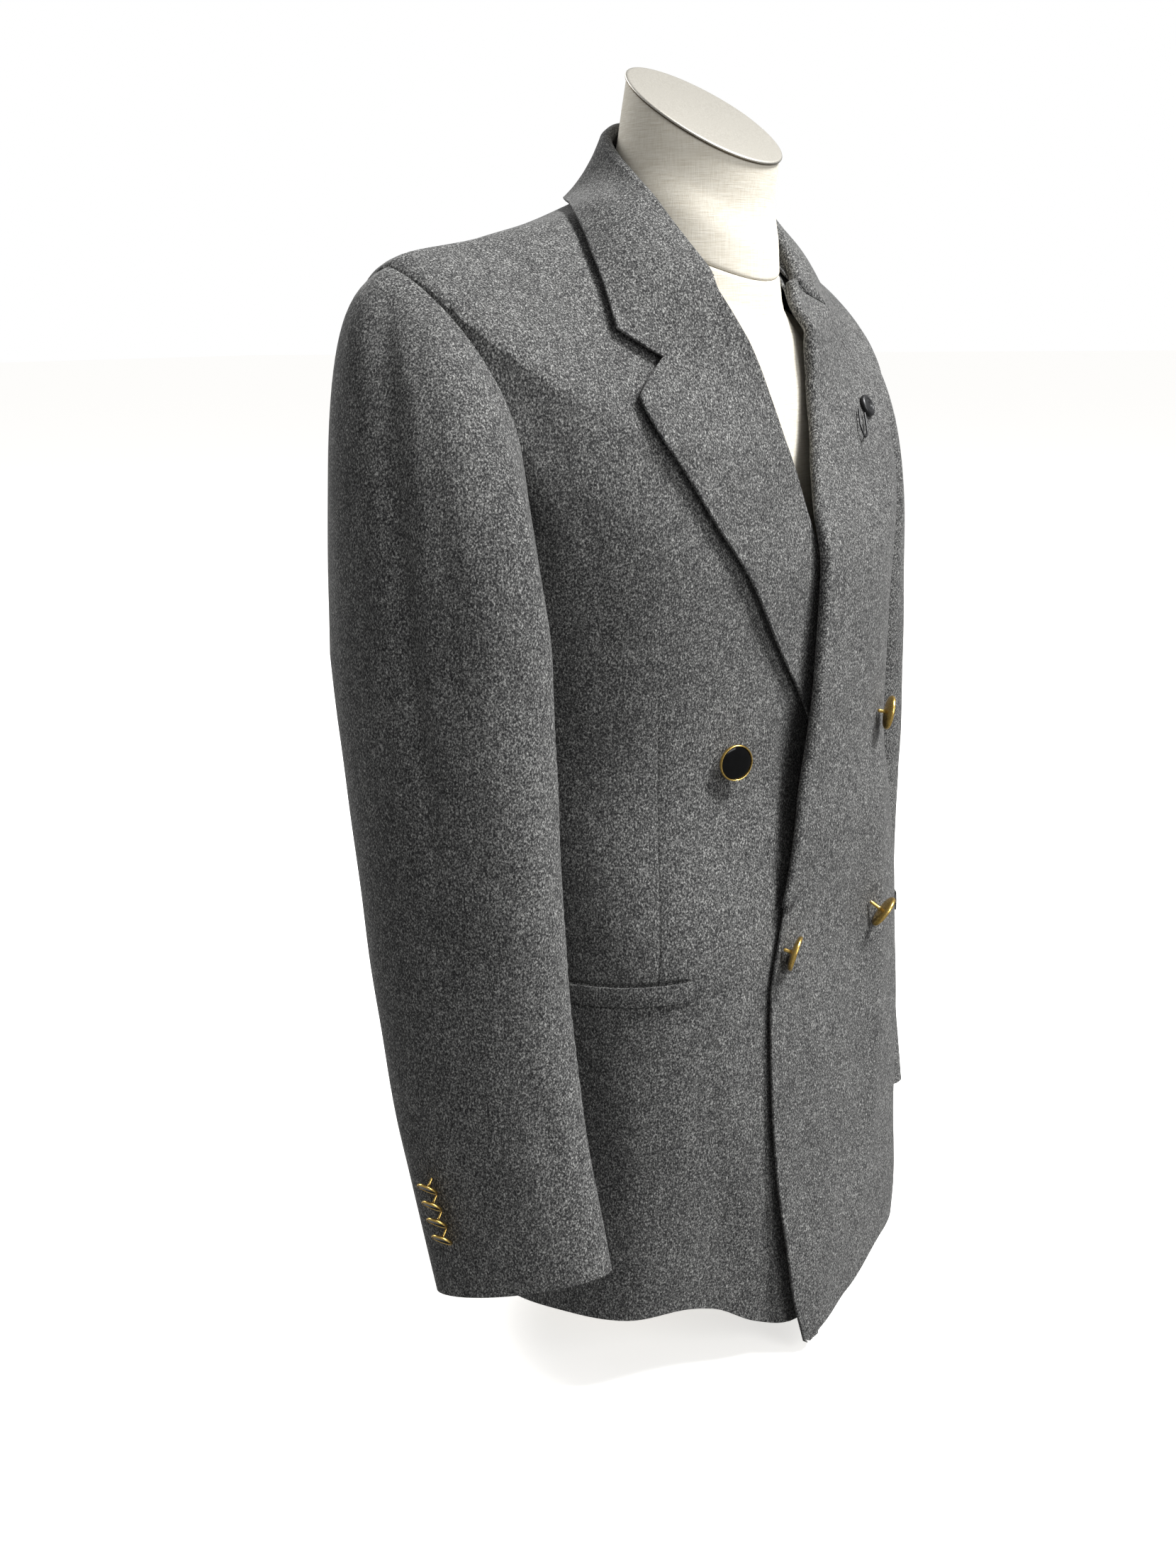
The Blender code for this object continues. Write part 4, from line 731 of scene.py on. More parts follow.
def lapelPiece(side, name, node):
    tab = lapelEdge[side]
    rows, normals = [], []
    n = turned["notchShare"]
    for down in np.concatenate([[0, 0.0012, 0.004], np.linspace(0, 1, turned["rows"])[1:] ** 1.3 * 0.99 + 0.01]):
        rootLevel = turned["gorge"] + (turned["break"] + 0.002 - turned["gorge"]) * down
        root = float(edgeAngle(side, rootLevel))
        end = float(lookUp(tab, "share", "angle", down))
        if down > 0.5:
            end = max(end, root + 1.2)
        endLevel = float(lookUp(tab, "share", "level", down))
        if down == 0:
            bend = np.array(turned["notch"]) - (root + (end - root) * n, rootLevel + (endLevel - rootLevel) * n)
        middle = (root + (end - root) * n + bend[0] * (1 - down) ** 8,
                  rootLevel + (endLevel - rootLevel) * n + bend[1] * (1 - down) ** 8)
        angle, level = brokenPath((root, rootLevel), middle, (end, endLevel))
        row, spokes = turnedRow(side, angle, level, float(lapelHeight(rootLevel)))
        rows.append(rollOn(side, row, down))
        normals.append(spokes)
    rows, normals = np.array(rows), np.array(normals)
    rows[0] = rows[0] + unit(rows[1] - rows[0]) * body["seam"]
    return clothWall(name, rows, normals, [node], sewn=("first",), dip=0.0005, sunk=gorgeSeam)


def refine(grid, knots, step):
    # more rows, about a step apart, by a smooth curve through the given ones at their distances along
    fine = np.concatenate([np.linspace(a, b, max(2, round((b - a) / step)), endpoint=False)
                           for a, b in zip(knots[:-1], knots[1:])] + [knots[-1:]])
    i = np.clip(np.searchsorted(knots, fine, side="right") - 1, 0, len(grid) - 2)
    w = (knots[i + 1] - knots[i]).reshape(-1, *[1] * (grid.ndim - 1))
    t = (fine - knots[i]).reshape(w.shape) / w
    slope = np.gradient(grid, knots, axis=0)
    a, b, da, db = grid[i], grid[i + 1], slope[i] * w, slope[i + 1] * w
    return ((2 * t**3 - 3 * t**2 + 1) * a + (t**3 - 2 * t**2 + t) * da
            + (3 * t**2 - 2 * t**3) * b + (t**3 - t**2) * db)


def collarHalf(side):
    count = turned["collarRows"]
    index = np.arange(len(collar["rollX"]), dtype=float)
    where = np.linspace(0, index[-1], count)
    row = {key: smoothCurve(index, values, where) for key, values in collar.items()}
    roll = np.stack([side * row["rollX"], row["rollY"], row["rollZ"]], -1)
    if side > 0:
        roll += np.stack([-row["leftIn"], row["leftBack"], -row["leftDown"]], -1)
    edge = panelPoint(side, row["edgeAngle"], row["edgeLevel"], turned["collarHeight"])
    foot = panelPoint(side, row["footAngle"], np.full(count, body["neck"]))
    along = np.gradient(roll, axis=0)
    n = turned["notchShare"]
    tip = 1 - (1 - np.linspace(0, 1, turned["tipSteps"] + 1)[1:]) ** 1.25
    share = np.concatenate([np.linspace(0, n, turned["gorgeSteps"] + 1)[1:], n + (1 - n) * tip])[:, None]
    rows, normals, posts = [], [], []
    for i in range(count):
        towards = unit(edge[i] - roll[i])
        upward = unit(np.cross(towards, along[i])) * -side
        around, spokes = fold(roll[i], turned["collarRoll"], towards, upward)
        arch = 4 * share * (1 - share) * row["bulge"][i]
        rows.append(np.concatenate([around, around[-1] + (edge[i] - around[-1]) * share + upward * arch]))
        normals.append(np.concatenate([spokes, np.repeat(upward[None], len(share), 0)]))
        base = foot[i] - np.array([0.0, 0.0, turned["footDrop"]])
        posts.append(base + (around[0] - base) * spaced(12, 0.06)[:, None])
    root = float(edgeAngle(side, turned["gorge"]))
    angle, level = brokenPath((root, turned["gorge"]), turned["notch"], turned["collarTip"])
    last, lastNormals = turnedRow(side, angle, level, turned["height"])
    rows.append(rollOn(side, last, 0.0))
    normals.append(lastNormals)
    return rows, normals, posts


def collarPieces():
    rows, normals, posts = [], [], []
    for side in (-1, 1):
        half, halfNormals, halfPosts = collarHalf(side)
        if side < 0:
            rows, normals, posts = half[::-1], halfNormals[::-1], halfPosts[::-1]
        else:
            rows, normals, posts = rows + half[1:], normals + halfNormals[1:], posts + halfPosts[1:]
    rows, posts = np.array(rows), np.array(posts)
    step = turned["collarStep"]
    along = np.linalg.norm(np.diff(rows, axis=0), axis=-1).mean(axis=1)
    knots = np.concatenate([[0], np.cumsum(along)])
    fall = refine(rows, knots, step)
    like = unit(refine(np.array(normals), knots, step))
    ends = (0.0006, 0.0016)
    fine = np.concatenate([fall[:1]] + [fall[:1] + unit(fall[1:2] - fall[:1]) * d for d in ends] + [fall[1:-1]]
                          + [fall[-1:] + unit(fall[-2:-1] - fall[-1:]) * d for d in ends[::-1]] + [fall[-1:]])
    like = np.concatenate([like[:1]] * 3 + [like[1:-1]] + [like[-1:]] * 3)
    stand = refine(posts, knots[1:-1] - knots[1], step)
    outward = stand - np.array([0.0, -0.02, 0.0])
    outward[..., 2] = 0
    return (clothWall("wool_collar_fall", fine, like, ["collar_fall"], sewn=("first", "last"), dip=0.0005,
                      sunk=gorgeSeam),
            clothWall("wool_collar_stand", stand, -outward, ["collar_stand"], dip=0.0))


for side, word in ((-1, "right"), (1, "left")):
    pieces["lapel", side] = lapelPiece(side, "wool_lapel_" + word, "lapel_" + word)
pieces["fall", 0], pieces["stand", 0] = collarPieces()
print("collar and lapels turned")


# sleeves

sleeve = {
    "round": 132, "capSteps": 34, "lowSteps": 76, "frontSeam": 0.36, "backSeam": 0.72,
    "leftBack": 0.042, "leftIn": 0.006, "leftDrop": 0.030,
    "sections": columns(("z", "outX", "centreY", "halfX", "halfY", "turn", "rise"), [
        (0.505, 0.253, -0.019, 0.046, 0.078, 0.0, 0.000),
        (0.400, 0.2550, -0.028, 0.045, 0.073, 0.0, 0.000),
        (0.302, 0.2560, -0.038, 0.042, 0.066, 5.0, 0.002),
        (0.212, 0.2565, -0.0528, 0.037, 0.0608, 12.0, 0.005),
        (0.114, 0.2565, -0.0768, 0.030, 0.0560, 21.0, 0.010),
    ]),
    "troughs": columns(("place", "width", "depth", "reach"), [
        (0.030, 0.050, 0.0030, 0.62), (0.860, 0.050, 0.0030, 0.50), (0.440, 0.060, 0.0030, 0.50)]),
    "aroundLength": 0.38,       # metres round the sleeve, near enough for placing creases
    "capLength": 0.16, "lowLength": 0.40,      # and down its cap and what is below it
    "plainRows": (7, 9),        # rows of the plain cut in those two, in which the troughs' reach is counted
}
# troughs and ridges of the sleeves: (share of the way round, metres down), width and depth
sleeveCreases = {
    -1: [([(0.016, 0.018), (0.031, 0.075), (0.028, 0.125), (0.034, 0.165), (0.039, 0.220), (0.042, 0.290)],
          0.0066, -0.0056),
         ([(0.040, 0.022), (0.056, 0.075), (0.053, 0.125), (0.059, 0.170)], 0.0070, 0.0006),
         ([(0.078, 0.050), (0.088, 0.090), (0.091, 0.125), (0.092, 0.165), (0.095, 0.210)], 0.0078, -0.0013),
         ([(0.052, 0.035), (0.062, 0.070), (0.063, 0.110), (0.067, 0.160)], 0.0075, 0.0005),
         ([(0.189, 0.040), (0.250, 0.090), (0.295, 0.160), (0.308, 0.250), (0.305, 0.360), (0.285, 0.480),
           (0.273, 0.550)], 0.011, 0.0022),
         ([(-0.022, 0.025), (-0.016, 0.090), (-0.010, 0.160)], 0.008, 0.0014),
         ([(0.140, 0.070), (0.190, 0.150), (0.215, 0.240)], 0.014, -0.0012),
         ([(0.050, 0.262), (0.120, 0.283), (0.190, 0.305)], 0.011, -0.0015),
         ([(-0.060, 0.300), (0.020, 0.322), (0.100, 0.330)], 0.012, -0.0012),
         ([(0.120, 0.400), (0.160, 0.470), (0.150, 0.540)], 0.013, -0.0012),
         ([(0.800, 0.030), (0.785, 0.110), (0.770, 0.200)], 0.009, -0.0030),
         ([(0.640, 0.262), (0.715, 0.287), (0.790, 0.300)], 0.009, -0.0018),
         ([(0.400, 0.258), (0.470, 0.277), (0.560, 0.281)], 0.008, -0.0020),
         ([(0.420, 0.300), (0.500, 0.312), (0.580, 0.305)], 0.008, -0.0016)],
    1: [([(0.010, 0.020), (0.024, 0.080), (0.020, 0.140), (0.030, 0.210)], 0.0080, -0.0044),
        ([(0.086, 0.045), (0.097, 0.110), (0.094, 0.180)], 0.0070, -0.0020),
        ([(0.200, 0.050), (0.275, 0.130), (0.300, 0.240), (0.300, 0.380), (0.280, 0.520)], 0.011, 0.0020),
        ([(0.060, 0.275), (0.130, 0.290), (0.200, 0.300)], 0.011, -0.0014),
        ([(-0.050, 0.310), (0.030, 0.326), (0.110, 0.338)], 0.012, -0.0013),
        ([(0.810, 0.035), (0.792, 0.120), (0.775, 0.190)], 0.009, -0.0028),
        ([(0.650, 0.270), (0.720, 0.291), (0.790, 0.305)], 0.009, -0.0017),
        ([(0.410, 0.262), (0.480, 0.284), (0.560, 0.290)], 0.008, -0.0019)],
}


def armholeLoop(side):
    # points round the armhole: top, down the front, under the arm and up the back
    fine = np.linspace(1, 0, 120)
    start = armhole["frontStart"]
    front = panelPoint(side, *armholePlace(start + (1 - start) * fine, "front"))
    start = armhole["backStart"]
    rear = panelPoint(side, *armholePlace(start + (1 - start) * fine[::-1], "back"))
    share = np.linspace(0, 1, 40)
    under = panelPoint(side, frontSide + (backSide - frontSide) * share, frontTop + (backTop - frontTop) * share)
    low = 20
    halves = []
    for path in (np.concatenate([front, under[1:low]]), np.concatenate([under[low - 1:-1], rear])):
        length = np.concatenate([[0], np.cumsum(np.linalg.norm(np.diff(path, axis=0), axis=1))])
        want = np.linspace(0, length[-1], sleeve["round"] // 2 + 1)
        halves.append(np.stack([np.interp(want, length, path[:, k]) for k in range(3)], -1))
    return np.concatenate([halves[0], halves[1][1:]])


def sleeveSection(side, z, place):
    # one section of the sleeve's tube; place runs from the outside over the front
    tab = sleeve["sections"]
    row = {name: float(smoothCurve(tab["z"][::-1], tab[name][::-1], z)) for name in tab}
    down = np.clip((0.56 - z) / 0.44, 0, 1)
    late = sleeve["leftBack"] * (0.5 + 0.5 * down) if side > 0 else 0.0
    near = sleeve["leftIn"] if side > 0 else 0.0
    lower = sleeve["leftDrop"] * down if side > 0 else 0.0
    turn = math.radians(row["turn"])
    out = row["halfX"] * np.cos(2 * math.pi * place)
    ahead = row["halfY"] * np.sin(2 * math.pi * place)
    x = row["outX"] - near + out * math.cos(turn) - ahead * math.sin(turn)
    y = row["centreY"] + late - out * math.sin(turn) * 0.4 - ahead * math.cos(turn)
    return np.stack([side * x, y, z - lower + row["rise"] * np.sin(2 * math.pi * place)], -1)


def onShoulder(place):
    # 1 at the top of the sleeve, where its seam is pressed flat, and 0 past the front and back of it
    return ease((0.30 - np.abs((place + 0.5) % 1 - 0.5)) / 0.10)


def sleeveGrid(side):
    place = np.arange(sleeve["round"] + 1) / sleeve["round"]
    top = armholeLoop(side)
    high = sleeve["sections"]["z"][0]
    foot = sleeveSection(side, high, place)
    cos, sin = np.cos(2 * math.pi * place), np.sin(2 * math.pi * place)
    leave = np.stack([side * (0.025 + 0.022 * cos), -0.014 * sin, -0.006 - 0.004 * cos], -1)
    arrive = np.stack([0 * cos, 0 * cos, 0.058 + 0.052 * cos], -1)
    capLength = sleeve["capLength"]
    capShare = spaced(sleeve["capSteps"], capLength)[:-3]
    rows = []
    for t in capShare:
        rows.append((1 - t)**3 * top + 3 * (1 - t)**2 * t * (top + leave)
                    + 3 * (1 - t) * t**2 * (foot + arrive) + t**3 * foot)
    lowShare = spaced(sleeve["lowSteps"], 0.39)
    lowShare = np.concatenate([[0], lowShare[4:]])
    for z in high + (sleeve["sections"]["z"][-1] - high) * lowShare:
        rows.append(sleeveSection(side, z, place))
    capRows, lowRows = sleeve["plainRows"]
    run = np.concatenate([capShare * capRows, capRows + lowRows * lowShare])[:, None] / (capRows + lowRows)
    face = np.array(rows)
    middle = face[:, :-1].mean(axis=1, keepdims=True)
    for at, width, depth, reach in zip(*sleeve["troughs"].values()):
        off = ((place - at + 0.5) % 1 - 0.5) / width
        fade = np.clip(run * 12, 0, 1) * np.clip(1 - run / reach, 0, 1) ** 0.8
        face -= unit(face - middle) * (depth * np.exp(-off**2) * fade)[..., None]
    downLength = np.concatenate([capShare * capLength, capLength + sleeve["lowLength"] * lowShare])[:, None]
    rise = strokes(sleeveCreases[side], place + 0 * downLength, downLength + 0 * place, sleeve["aroundLength"],
                   sleeve["aroundLength"])
    settle = ease(downLength / 0.02)
    rise = (rise + body["unevenDepth"] * 1.3 * uneven(face, 0.06, 7.0)) * settle
    return face + unit(face - middle) * rise[..., None], middle


def sleevePieces(side, word):
    face, middle = sleeveGrid(side)
    closed = np.concatenate([face[:, -2:-1], face, face[:, 1:2]], axis=1)
    normals = gridNormals(closed, unit(closed - middle))[:, 1:-1]
    first, last = round(sleeve["frontSeam"] * sleeve["round"]), round(sleeve["backSeam"] * sleeve["round"])
    outer = list(range(last, sleeve["round"])) + list(range(0, first + 1))
    sunk = np.repeat(1 - onShoulder(np.arange(sleeve["round"] + 1) / sleeve["round"])[None], len(face), 0)
    made = []
    for cut, name in ((outer, "top_sleeve_"), (list(range(first, last + 1)), "under_sleeve_")):
        part, n, down = face[:, cut], normals[:, cut], sunk[:, cut]
        # two more columns close to each seam
        for at in (0.35, 0.12):
            part = np.concatenate([part[:, :1], part[:, :1] + (part[:, 1:2] - part[:, :1]) * at, part[:, 1:-1],
                                   part[:, -1:] + (part[:, -2:-1] - part[:, -1:]) * at, part[:, -1:]], axis=1)
            n, down = (np.concatenate([g[:, :1], g[:, :1], g[:, 1:-1], g[:, -1:], g[:, -1:]], axis=1)
                       for g in (n, down))
        made.append(clothWall("wool_" + name + word, part, n, [name + word], sewn=("first", "left", "right"),
                              sunk=down))
    return made


for side, word in ((-1, "right"), (1, "left")):
    pieces["topSleeve", side], pieces["underSleeve", side] = sleevePieces(side, word)
print("sleeves set in")


# pocket welts

def weltPiece(side, name, node):
    share = spaced(welt["cols"], 0.14)
    down = spaced(welt["rows"], welt["height"], (0.0004, 0.0010, 0.0019))[:, None]
    own = welt["front"] + (welt["back"] - welt["front"]) * share + 0 * down
    levels = welt["top"] - welt["slope"] * np.sin(math.pi * share) - welt["height"] * down
    # soft and a little full between its seams, and pressed down at both ends
    full = welt["full"] * np.sin(np.pi * down) * np.sin(np.pi * share) ** 0.3
    height = body["seam"] + welt["thick"] + full
    return clothWall(name, panelPoint(side, own, levels, height), panelNormal(side, own, levels), [node],
                     thick=welt["thick"], turnIn=0.0003)


for side, word in ((-1, "right"), (1, "left")):
    pieces["welt", side] = weltPiece(side, "wool_pocket_welt_" + word, "pocket_welt_" + word)
print("pockets welted")


# turned pieces: buttons, stud

def spun(profile, place, axis, steps):
    # vertices and faces of a turned piece: (radius, height) pairs about its own axis, closed on the axis
    axis = unit(np.array(axis, float))
    side = unit(np.cross(axis, (0.0, 0.0, 1.0)))
    upward = np.cross(side, axis)
    vertices, rings = [], []
    for radius, height in profile:
        centre = np.array(place) + axis * height
        if radius == 0:
            rings.append([len(vertices)])
            vertices.append(centre)
            continue
        rings.append(list(range(len(vertices), len(vertices) + steps)))
        for t in np.arange(steps) * 2 * math.pi / steps:
            vertices.append(centre + radius * (math.cos(t) * side + math.sin(t) * upward))
    faces = []
    for low, high in zip(rings, rings[1:]):
        for i in range(steps):
            j = (i + 1) % steps
            corners = [low[i % len(low)], low[j % len(low)], high[j % len(high)], high[i % len(high)]]
            faces.append(tuple(dict.fromkeys(corners)))
    return vertices, faces


def joined(*parts):
    # several (vertices, faces) in one, with the material index of each part's faces
    vertices, faces, which = [], [], []
    for k, (more, moreFaces) in enumerate(parts):
        base = len(vertices)
        vertices += list(more)
        faces += [tuple(base + i for i in face) for face in moreFaces]
        which += [k] * len(moreFaces)
    return vertices, faces, which


buttons = {
    "radius": 0.01225, "shank": 0.0052, "cuffRadius": 0.0070, "cuffShank": 0.0024, "steps": 64,
    # name, side, angle and level where sewn, way it faces and how far it hangs down
    "front": [("button_upper_right", -1, 27.3, 0.4240, -27.0, 4.0), ("button_upper_left", 1, 24.0, 0.4325, 38.0, 12.0),
              ("button_lower_right", 1, -19.1, 0.2925, 24.0, 18.0), ("button_lower_left", 1, 17.4, 0.2990, 32.0, 38.0)],
    "cuffPlace": 0.930, "cuffHang": 1.15, "cuffLow": 0.0435, "cuffStep": 0.0104,
}


def roundedProfile(points):
    # a profile with its corners softened, by cutting them twice
    path = np.array(points, float)
    for _ in range(2):
        cut = [path[0]]
        for a, b in zip(path[:-1], path[1:]):
            cut += [a * 0.82 + b * 0.18, a * 0.18 + b * 0.82]
        cut.append(path[-1])
        path = np.array(cut)
    path[0, 0] = path[-1, 0] = 0
    return [tuple(p) for p in path]


def buttonPiece(name, place, axis, radius, shank):
    # a pressed gilt shell with a raised bead round a domed enamel face, on a soldered shank
    r = radius
    shell = roundedProfile([(0, 0), (0.10 * r, 0), (0.10 * r, shank), (0.55 * r, shank + 0.02 * r),
                            (0.92 * r, shank + 0.11 * r), (r, shank + 0.22 * r), (0.995 * r, shank + 0.31 * r),
                            (0.955 * r, shank + 0.37 * r), (0.91 * r, shank + 0.35 * r), (0.90 * r, shank + 0.25 * r),
                            (0, shank + 0.25 * r)])
    low = shank + 0.25 * r + 0.0001
    face = roundedProfile([(0, low), (0.89 * r, low), (0.885 * r, low + 0.05 * r), (0.74 * r, low + 0.09 * r),
                           (0.40 * r, low + 0.125 * r), (0, low + 0.14 * r)])
    vertices, faces, which = joined(spun(shell, place, axis, buttons["steps"]),
                                    spun(face, place, axis, buttons["steps"]))
    return addPiece("gilt_" + name, vertices, faces, [giltBrass, blackEnamel], "gilt", [name, name + "_enamel"],
                    which=which)


def seatButton(point, out, axis, radius, shank):
    lean = math.acos(np.clip(np.dot(unit(axis), out), -1, 1))
    foot = 0.14 * radius * math.sin(lean) + 1.2 * body["seam"]
    clear = (radius * math.sin(lean) + 0.0007 - foot) / math.cos(lean) - 0.20 * radius
    return point + out * foot, max(shank, clear)


# where the plain cut of the part has the button's foot, so that it stays where the model has it
for name, side, own, level, azimuth, droop in buttons["front"]:
    a, d = math.radians(azimuth), math.radians(droop)
    axis = np.array([math.sin(a) * math.cos(d), -math.cos(a) * math.cos(d), -math.sin(d)])
    point = panelBase(side, own, level)[0]
    place, shank = seatButton(point, panelNormal(side, own, level), axis, buttons["radius"], buttons["shank"])
    buttonPiece(name, place, axis, buttons["radius"], shank)

for side, word in ((-1, "right"), (1, "left")):
    for i in range(4):
        z = sleeve["sections"]["z"][-1] + buttons["cuffLow"] + i * buttons["cuffStep"]
        at = sleeveSection(side, z, np.array([buttons["cuffPlace"]]))[0]
        near = sleeveSection(side, z, np.array([buttons["cuffPlace"] + 0.01]))[0]
        above = sleeveSection(side, z + 0.01, np.array([buttons["cuffPlace"]]))[0]
        middle = sleeveSection(side, z, np.arange(12) / 12).mean(axis=0)
        out = unit(np.cross(near - at, above - at))
        out *= np.sign(np.dot(out, at - middle))
        axis = unit(out + np.array([0.0, 0.0, -buttons["cuffHang"]]))
        place, shank = seatButton(at, out, axis, buttons["cuffRadius"], buttons["cuffShank"])
        buttonPiece(f"cuff_button_{word}_{i + 1}", place, axis, buttons["cuffRadius"], shank)
print("buttons sewn on")


# lapel stud and its wire

stud = {"own": 27.5, "level": 0.6300, "radius": 0.0080, "wire": 0.0008, "width": 0.0045, "length": 0.0230,
        "wireLift": 0.0006, "wireDrop": 0.0026, "wireAside": 0.0105, "wireLean": (0.83, 0.56)}

out = panelNormal(1, stud["own"], stud["level"])
place = panelBase(1, stud["own"], stud["level"])[0] + out * (turned["height"] + 2.5 * body["seam"])
r = stud["radius"]
vertices, faces = spun(roundedProfile([
    (0, 0), (0.90 * r, 0), (r, 0.10 * r), (r, 0.28 * r), (0.88 * r, 0.40 * r), (0.62 * r, 0.44 * r),
    (0.56 * r, 0.38 * r), (0.30 * r, 0.44 * r), (0.24 * r, 0.36 * r), (0, 0.36 * r)]), place, out, 72)
addPiece("lapel_stud_painted", vertices, faces, [blackZinc], "black_metal", ["lapel_stud"])
side = unit(np.cross((0.0, 0.0, 1.0), out))
down = np.cross(side, out)
down *= -np.sign(down[2])
c, s = stud["wireLean"]
side, down = side * c + down * s, down * c - side * s
start = (place + out * (stud["wire"] + stud["wireLift"]) + down * (r + stud["wireDrop"])
         - side * stud["wireAside"])
shape = np.array([(0.9, 0.0), (1.0, 0.30), (0.95, 0.66), (0.45, 0.92), (0.0, 1.0), (-0.5, 0.90), (-1.0, 0.62),
                  (-1.0, 0.30), (-0.9, 0.06)])
knots = np.arange(len(shape), dtype=float)
fine = np.linspace(0, knots[-1], 90)
wire = bpy.data.curves.new("lapel_wire_bent", "CURVE")
wire.dimensions = "3D"
wire.bevel_depth = stud["wire"]
wire.bevel_resolution = 4
wire.use_fill_caps = True
line = wire.splines.new("POLY")
line.points.add(len(fine) - 1)
for point, x, y in zip(line.points, smoothCurve(knots, shape[:, 0], fine), smoothCurve(knots, shape[:, 1], fine)):
    point.co = (*(start + side * x * stud["width"] + down * y * stud["length"]), 1.0)
wire.materials.append(blackZinc)
wireObject = bpy.data.objects.new("lapel_wire_bent", wire)
scene.collection.objects.link(wireObject)
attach(wireObject, "root")
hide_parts("lapel_wire")
print("lapel stud pinned")


# dress form

form = {
    "steps": 128, "rows": 90, "neckRows": 26, "hollow": (-0.0070, 0.0050, -0.002), "capLean": 0.05,
    "capThick": 0.0023, "baseThick": 0.0120, "baseHalf": (0.084, 0.058),
    "close": (0.0006, 0.0016, 0.0030),      # rows close to the neck seam
    "turnIn": (0.0011, 0.0005, 0.0001),     # the cover turns in there, row by row
    "torso": columns(ringNames, [
        (0.0125, 0.0125, 0.0125, -0.058, 0.000, 0.058, 0.084, 2.2, 2.2, 2.0),
        (0.050, 0.050, 0.050, -0.080, 0.000, 0.078, 0.112, 2.2, 2.2, 2.0),
        (0.130, 0.130, 0.130, -0.102, -0.002, 0.088, 0.142, 2.2, 2.2, 2.0),
        (0.220, 0.220, 0.220, -0.110, -0.004, 0.088, 0.150, 2.2, 2.2, 2.0),
        (0.320, 0.320, 0.320, -0.108, -0.004, 0.080, 0.144, 2.2, 2.2, 2.0),
        (0.420, 0.420, 0.420, -0.104, -0.004, 0.066, 0.136, 2.2, 2.2, 2.0),
        (0.500, 0.500, 0.500, -0.110, -0.002, 0.074, 0.148, 2.2, 2.2, 2.0),
        (0.560, 0.580, 0.570, -0.1140, 0.000, 0.080, 0.160, 2.4, 2.2, 2.0),
        (0.600, 0.660, 0.640, -0.1125, 0.004, 0.078, 0.172, 2.6, 2.2, 1.6),
        (0.640, 0.710, 0.696, -0.1080, 0.006, 0.060, 0.160, 2.6, 2.2, 1.4),
        (0.680, 0.733, 0.730, -0.1030, 0.000, 0.040, 0.122, 2.5, 2.2, 1.4),
        (0.706, 0.745, 0.752, -0.099, -0.010, 0.024, 0.0760, 2.2, 2.2, 1.6),
        (0.728, 0.757, 0.768, -0.099, -0.020, 0.0145, 0.0650, 2.1, 2.1, 1.7),
    ]),
    "neck": columns(ringNames, [
        (0.7283, 0.7573, 0.7683, -0.099, -0.020, 0.0145, 0.0650, 2.1, 2.1, 1.7),
        (0.748, 0.782, 0.798, -0.0985, -0.031, 0.008, 0.0600, 2.1, 2.1, 1.7),
        (0.771, 0.808, 0.835, -0.096, -0.043, 0.006, 0.0535, 2.0, 2.0, 1.4),
        (0.802, 0.8355, 0.868, -0.100, -0.0495, 0.001, 0.0505, 2.0, 2.0, 1.0),
    ]),
}
formAngles = np.arange(form["steps"]) * 360 / form["steps"]


def ringedSolid(loops):
    # vertices and faces of a closed solid through loops of points, with a flat fan at each end
    steps = len(loops[0])
    vertices = [p for loop in loops for p in loop]
    faces = []
    for k in range(len(loops) - 1):
        for i in range(steps):
            j = (i + 1) % steps
            faces.append((k * steps + i, k * steps + j, (k + 1) * steps + j, (k + 1) * steps + i))
    for k, loop in ((0, loops[0]), (len(loops) - 1, loops[-1])):
        middle = len(vertices)
        vertices.append(np.mean(loop, axis=0))
        for i in range(steps):
            faces.append((k * steps + i, k * steps + (i + 1) % steps, middle))
    return vertices, faces


def formLoops(tab, levels):
    return np.array([ringPoint(tab, formAngles, np.full(len(formAngles), level)) for level in levels])


low, high = form["torso"]["frontZ"][0], form["torso"]["frontZ"][-1]
torso = formLoops(form["torso"], low + (high - low) * spaced(form["rows"], 0.72, form["close"]))
own = (formAngles + 180) % 360 - 180
hollow = ease((own - 26) / 16) * ease((100 - own) / 15)
high = ease((torso[:, 0, 2] - 0.655) / 0.03)
torso += (high[:, None] * hollow)[..., None] * np.array(form["hollow"])
middle = torso.mean(axis=1, keepdims=True)
for k, inward in enumerate(form["turnIn"]):
    torso[-1 - k] -= unit(torso[-1 - k] - middle[-1 - k]) * inward
addPiece("linen_torso", *ringedSolid(list(torso)), [formLinen], "linen", ["form_torso"])

low, high = form["neck"]["frontZ"][0], form["neck"]["frontZ"][-1]
neck = formLoops(form["neck"], low + (high - low) * spaced(form["neckRows"], 0.074, form["close"]))
fade = 1 - ease((neck[:, 0, 2] - 0.728) / 0.040)
neck += (fade[:, None] * hollow)[..., None] * np.array(form["hollow"])
neck[..., 2] += neck[..., 0] * (form["capLean"] * ease((neck[:, :1, 2] - 0.750) / 0.050))
middle = neck.mean(axis=1, keepdims=True)
for k, inward in enumerate(form["turnIn"]):
    neck[k] -= unit(neck[k] - middle[k]) * inward
addPiece("linen_neck", *ringedSolid(list(neck)), [formLinen], "linen", ["form_neck"])

rim = neck[-1]
middle = rim.mean(axis=0)
quarter = form["steps"] // 4
upward = unit(np.cross(rim[quarter] - rim[0], rim[2 * quarter] - rim[0]))
upward *= np.sign(upward[2])
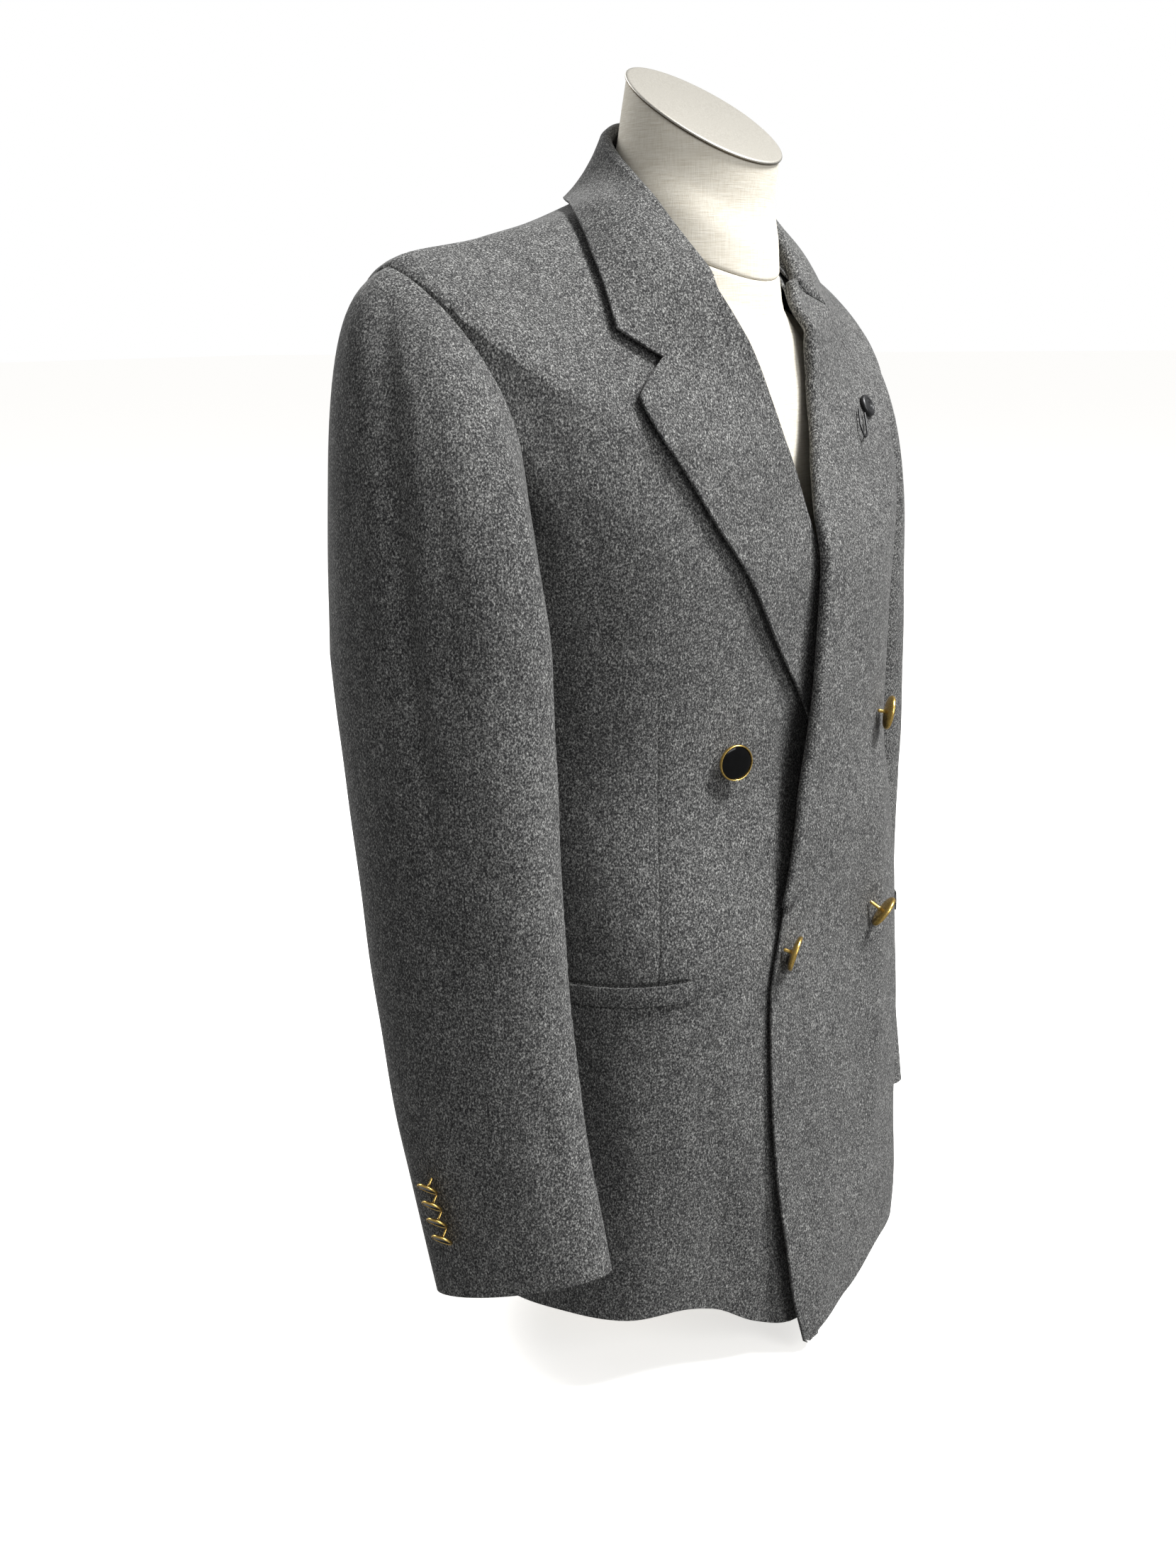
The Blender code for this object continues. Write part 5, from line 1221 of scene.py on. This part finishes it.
# width against the rim, and height as a share of the cap's thickness
capShape = {"edge": ((1.012, 0.02), (1.020, 0.06), (1.022, 0.16), (1.018, 0.24)),
            "sheet": ((1.016, 0.26), (1.024, 0.32), (1.025, 0.60), (1.018, 0.86), (1.004, 0.97), (0.985, 1.0))}
capLoops = {part: [middle + (rim - middle) * wide + upward * (body["seam"] + lift * form["capThick"])
                   for wide, lift in shape] for part, shape in capShape.items()}
vertices, faces, which = joined(ringedSolid(capLoops["sheet"]), ringedSolid(capLoops["edge"]))
addPiece("steel_neck_cap", vertices, faces, [capSteel, rimBronze], "cap_metal", ["form_neck_cap"], which=which)

turn = np.radians(formAngles)
oval = np.stack([form["baseHalf"][0] * np.sin(turn), -form["baseHalf"][1] * np.cos(turn)], -1)
plate = []
for z, wide in ((0.0, 0.95), (0.0004, 0.972), (0.0014, 0.99), (0.003, 1.0), (0.009, 1.0), (0.0106, 0.994),
                (0.0116, 0.98), (form["baseThick"], 0.96)):
    plate.append(np.column_stack([oval * wide, np.full(len(oval), z)]))
addPiece("beech_base", *ringedSolid(plate), [waxedBeech], "wood", ["form_base"])
print("dress form stands")


# cut pieces


# each cut piece's side, named as a word
for (kind, side), piece in pieces.items():
    word = "right" if side < 0 else "left"


# floor and light

studio = {
    "floor": "#f4f3f1", "floorGlow": 0.72, "floorHalf": 40, "backdrop": 1.0, "world": 0.37,
    "lights": {"key": {"place": (0.90, -2.20, 3.80), "size": 1.1, "power": 335.0},
               "fill": {"place": (-0.7, -2.6, 1.2), "size": 1.2, "power": 26.0},
               "rear": {"place": (0.5, 3.0, 2.4), "size": 1.4, "power": 75.0}},
}

floorMesh = bpy.data.meshes.new("floor")
wide = studio["floorHalf"]
floorMesh.from_pydata([(-wide, -wide, 0), (wide, -wide, 0), (wide, wide, 0), (-wide, wide, 0)], [], [(0, 1, 2, 3)])
# matt seamless paper, lit a little from within so that it stays white
paper = newMaterial("seamlessPaper", Base_Color=linear(studio["floor"]), Roughness=0.9,
                    Emission_Color=linear(studio["floor"]), Emission_Strength=studio["floorGlow"])[0]
floorMesh.materials.append(paper)
floor = bpy.data.objects.new("floor", floorMesh)
scene.collection.objects.link(floor)
floor.visible_diffuse = False      # its bounce would light the cloth from below
floor.visible_glossy = False       # and its glow would show in the enamel

world = bpy.data.worlds.new("studio")
scene.world = world
world.use_nodes = True
# the empty studio looks white, and lights the object much less than its softboxes do
sky = world.node_tree
sky.nodes["Background"].inputs["Color"].default_value = (1.0, 1.0, 1.0, 1.0)
sky.nodes["Background"].inputs["Strength"].default_value = studio["world"]
white = node(sky, "ShaderNodeBackground", Color=(1.0, 1.0, 1.0, 1.0), Strength=studio["backdrop"])
path = node(sky, "ShaderNodeLightPath")
either = node(sky, "ShaderNodeMixShader", links={0: path.outputs["Is Camera Ray"], 2: white.outputs[0],
                                                 1: sky.nodes["Background"].outputs[0]})
sky.links.new(either.outputs[0], sky.nodes["World Output"].inputs["Surface"])


def softbox(name, place, size, power, aim=(0, 0, 0.42)):
    light = bpy.data.lights.new(name, "AREA")
    light.size = size
    light.energy = power
    made = bpy.data.objects.new(name, light)
    made.location = place
    made.rotation_euler = (Vector(aim) - Vector(place)).to_track_quat("-Z", "Y").to_euler()
    scene.collection.objects.link(made)
    return made


for name, light in studio["lights"].items():
    softbox(name, **light)
scene.view_settings.view_transform = "Standard"
print("floor and lights set")
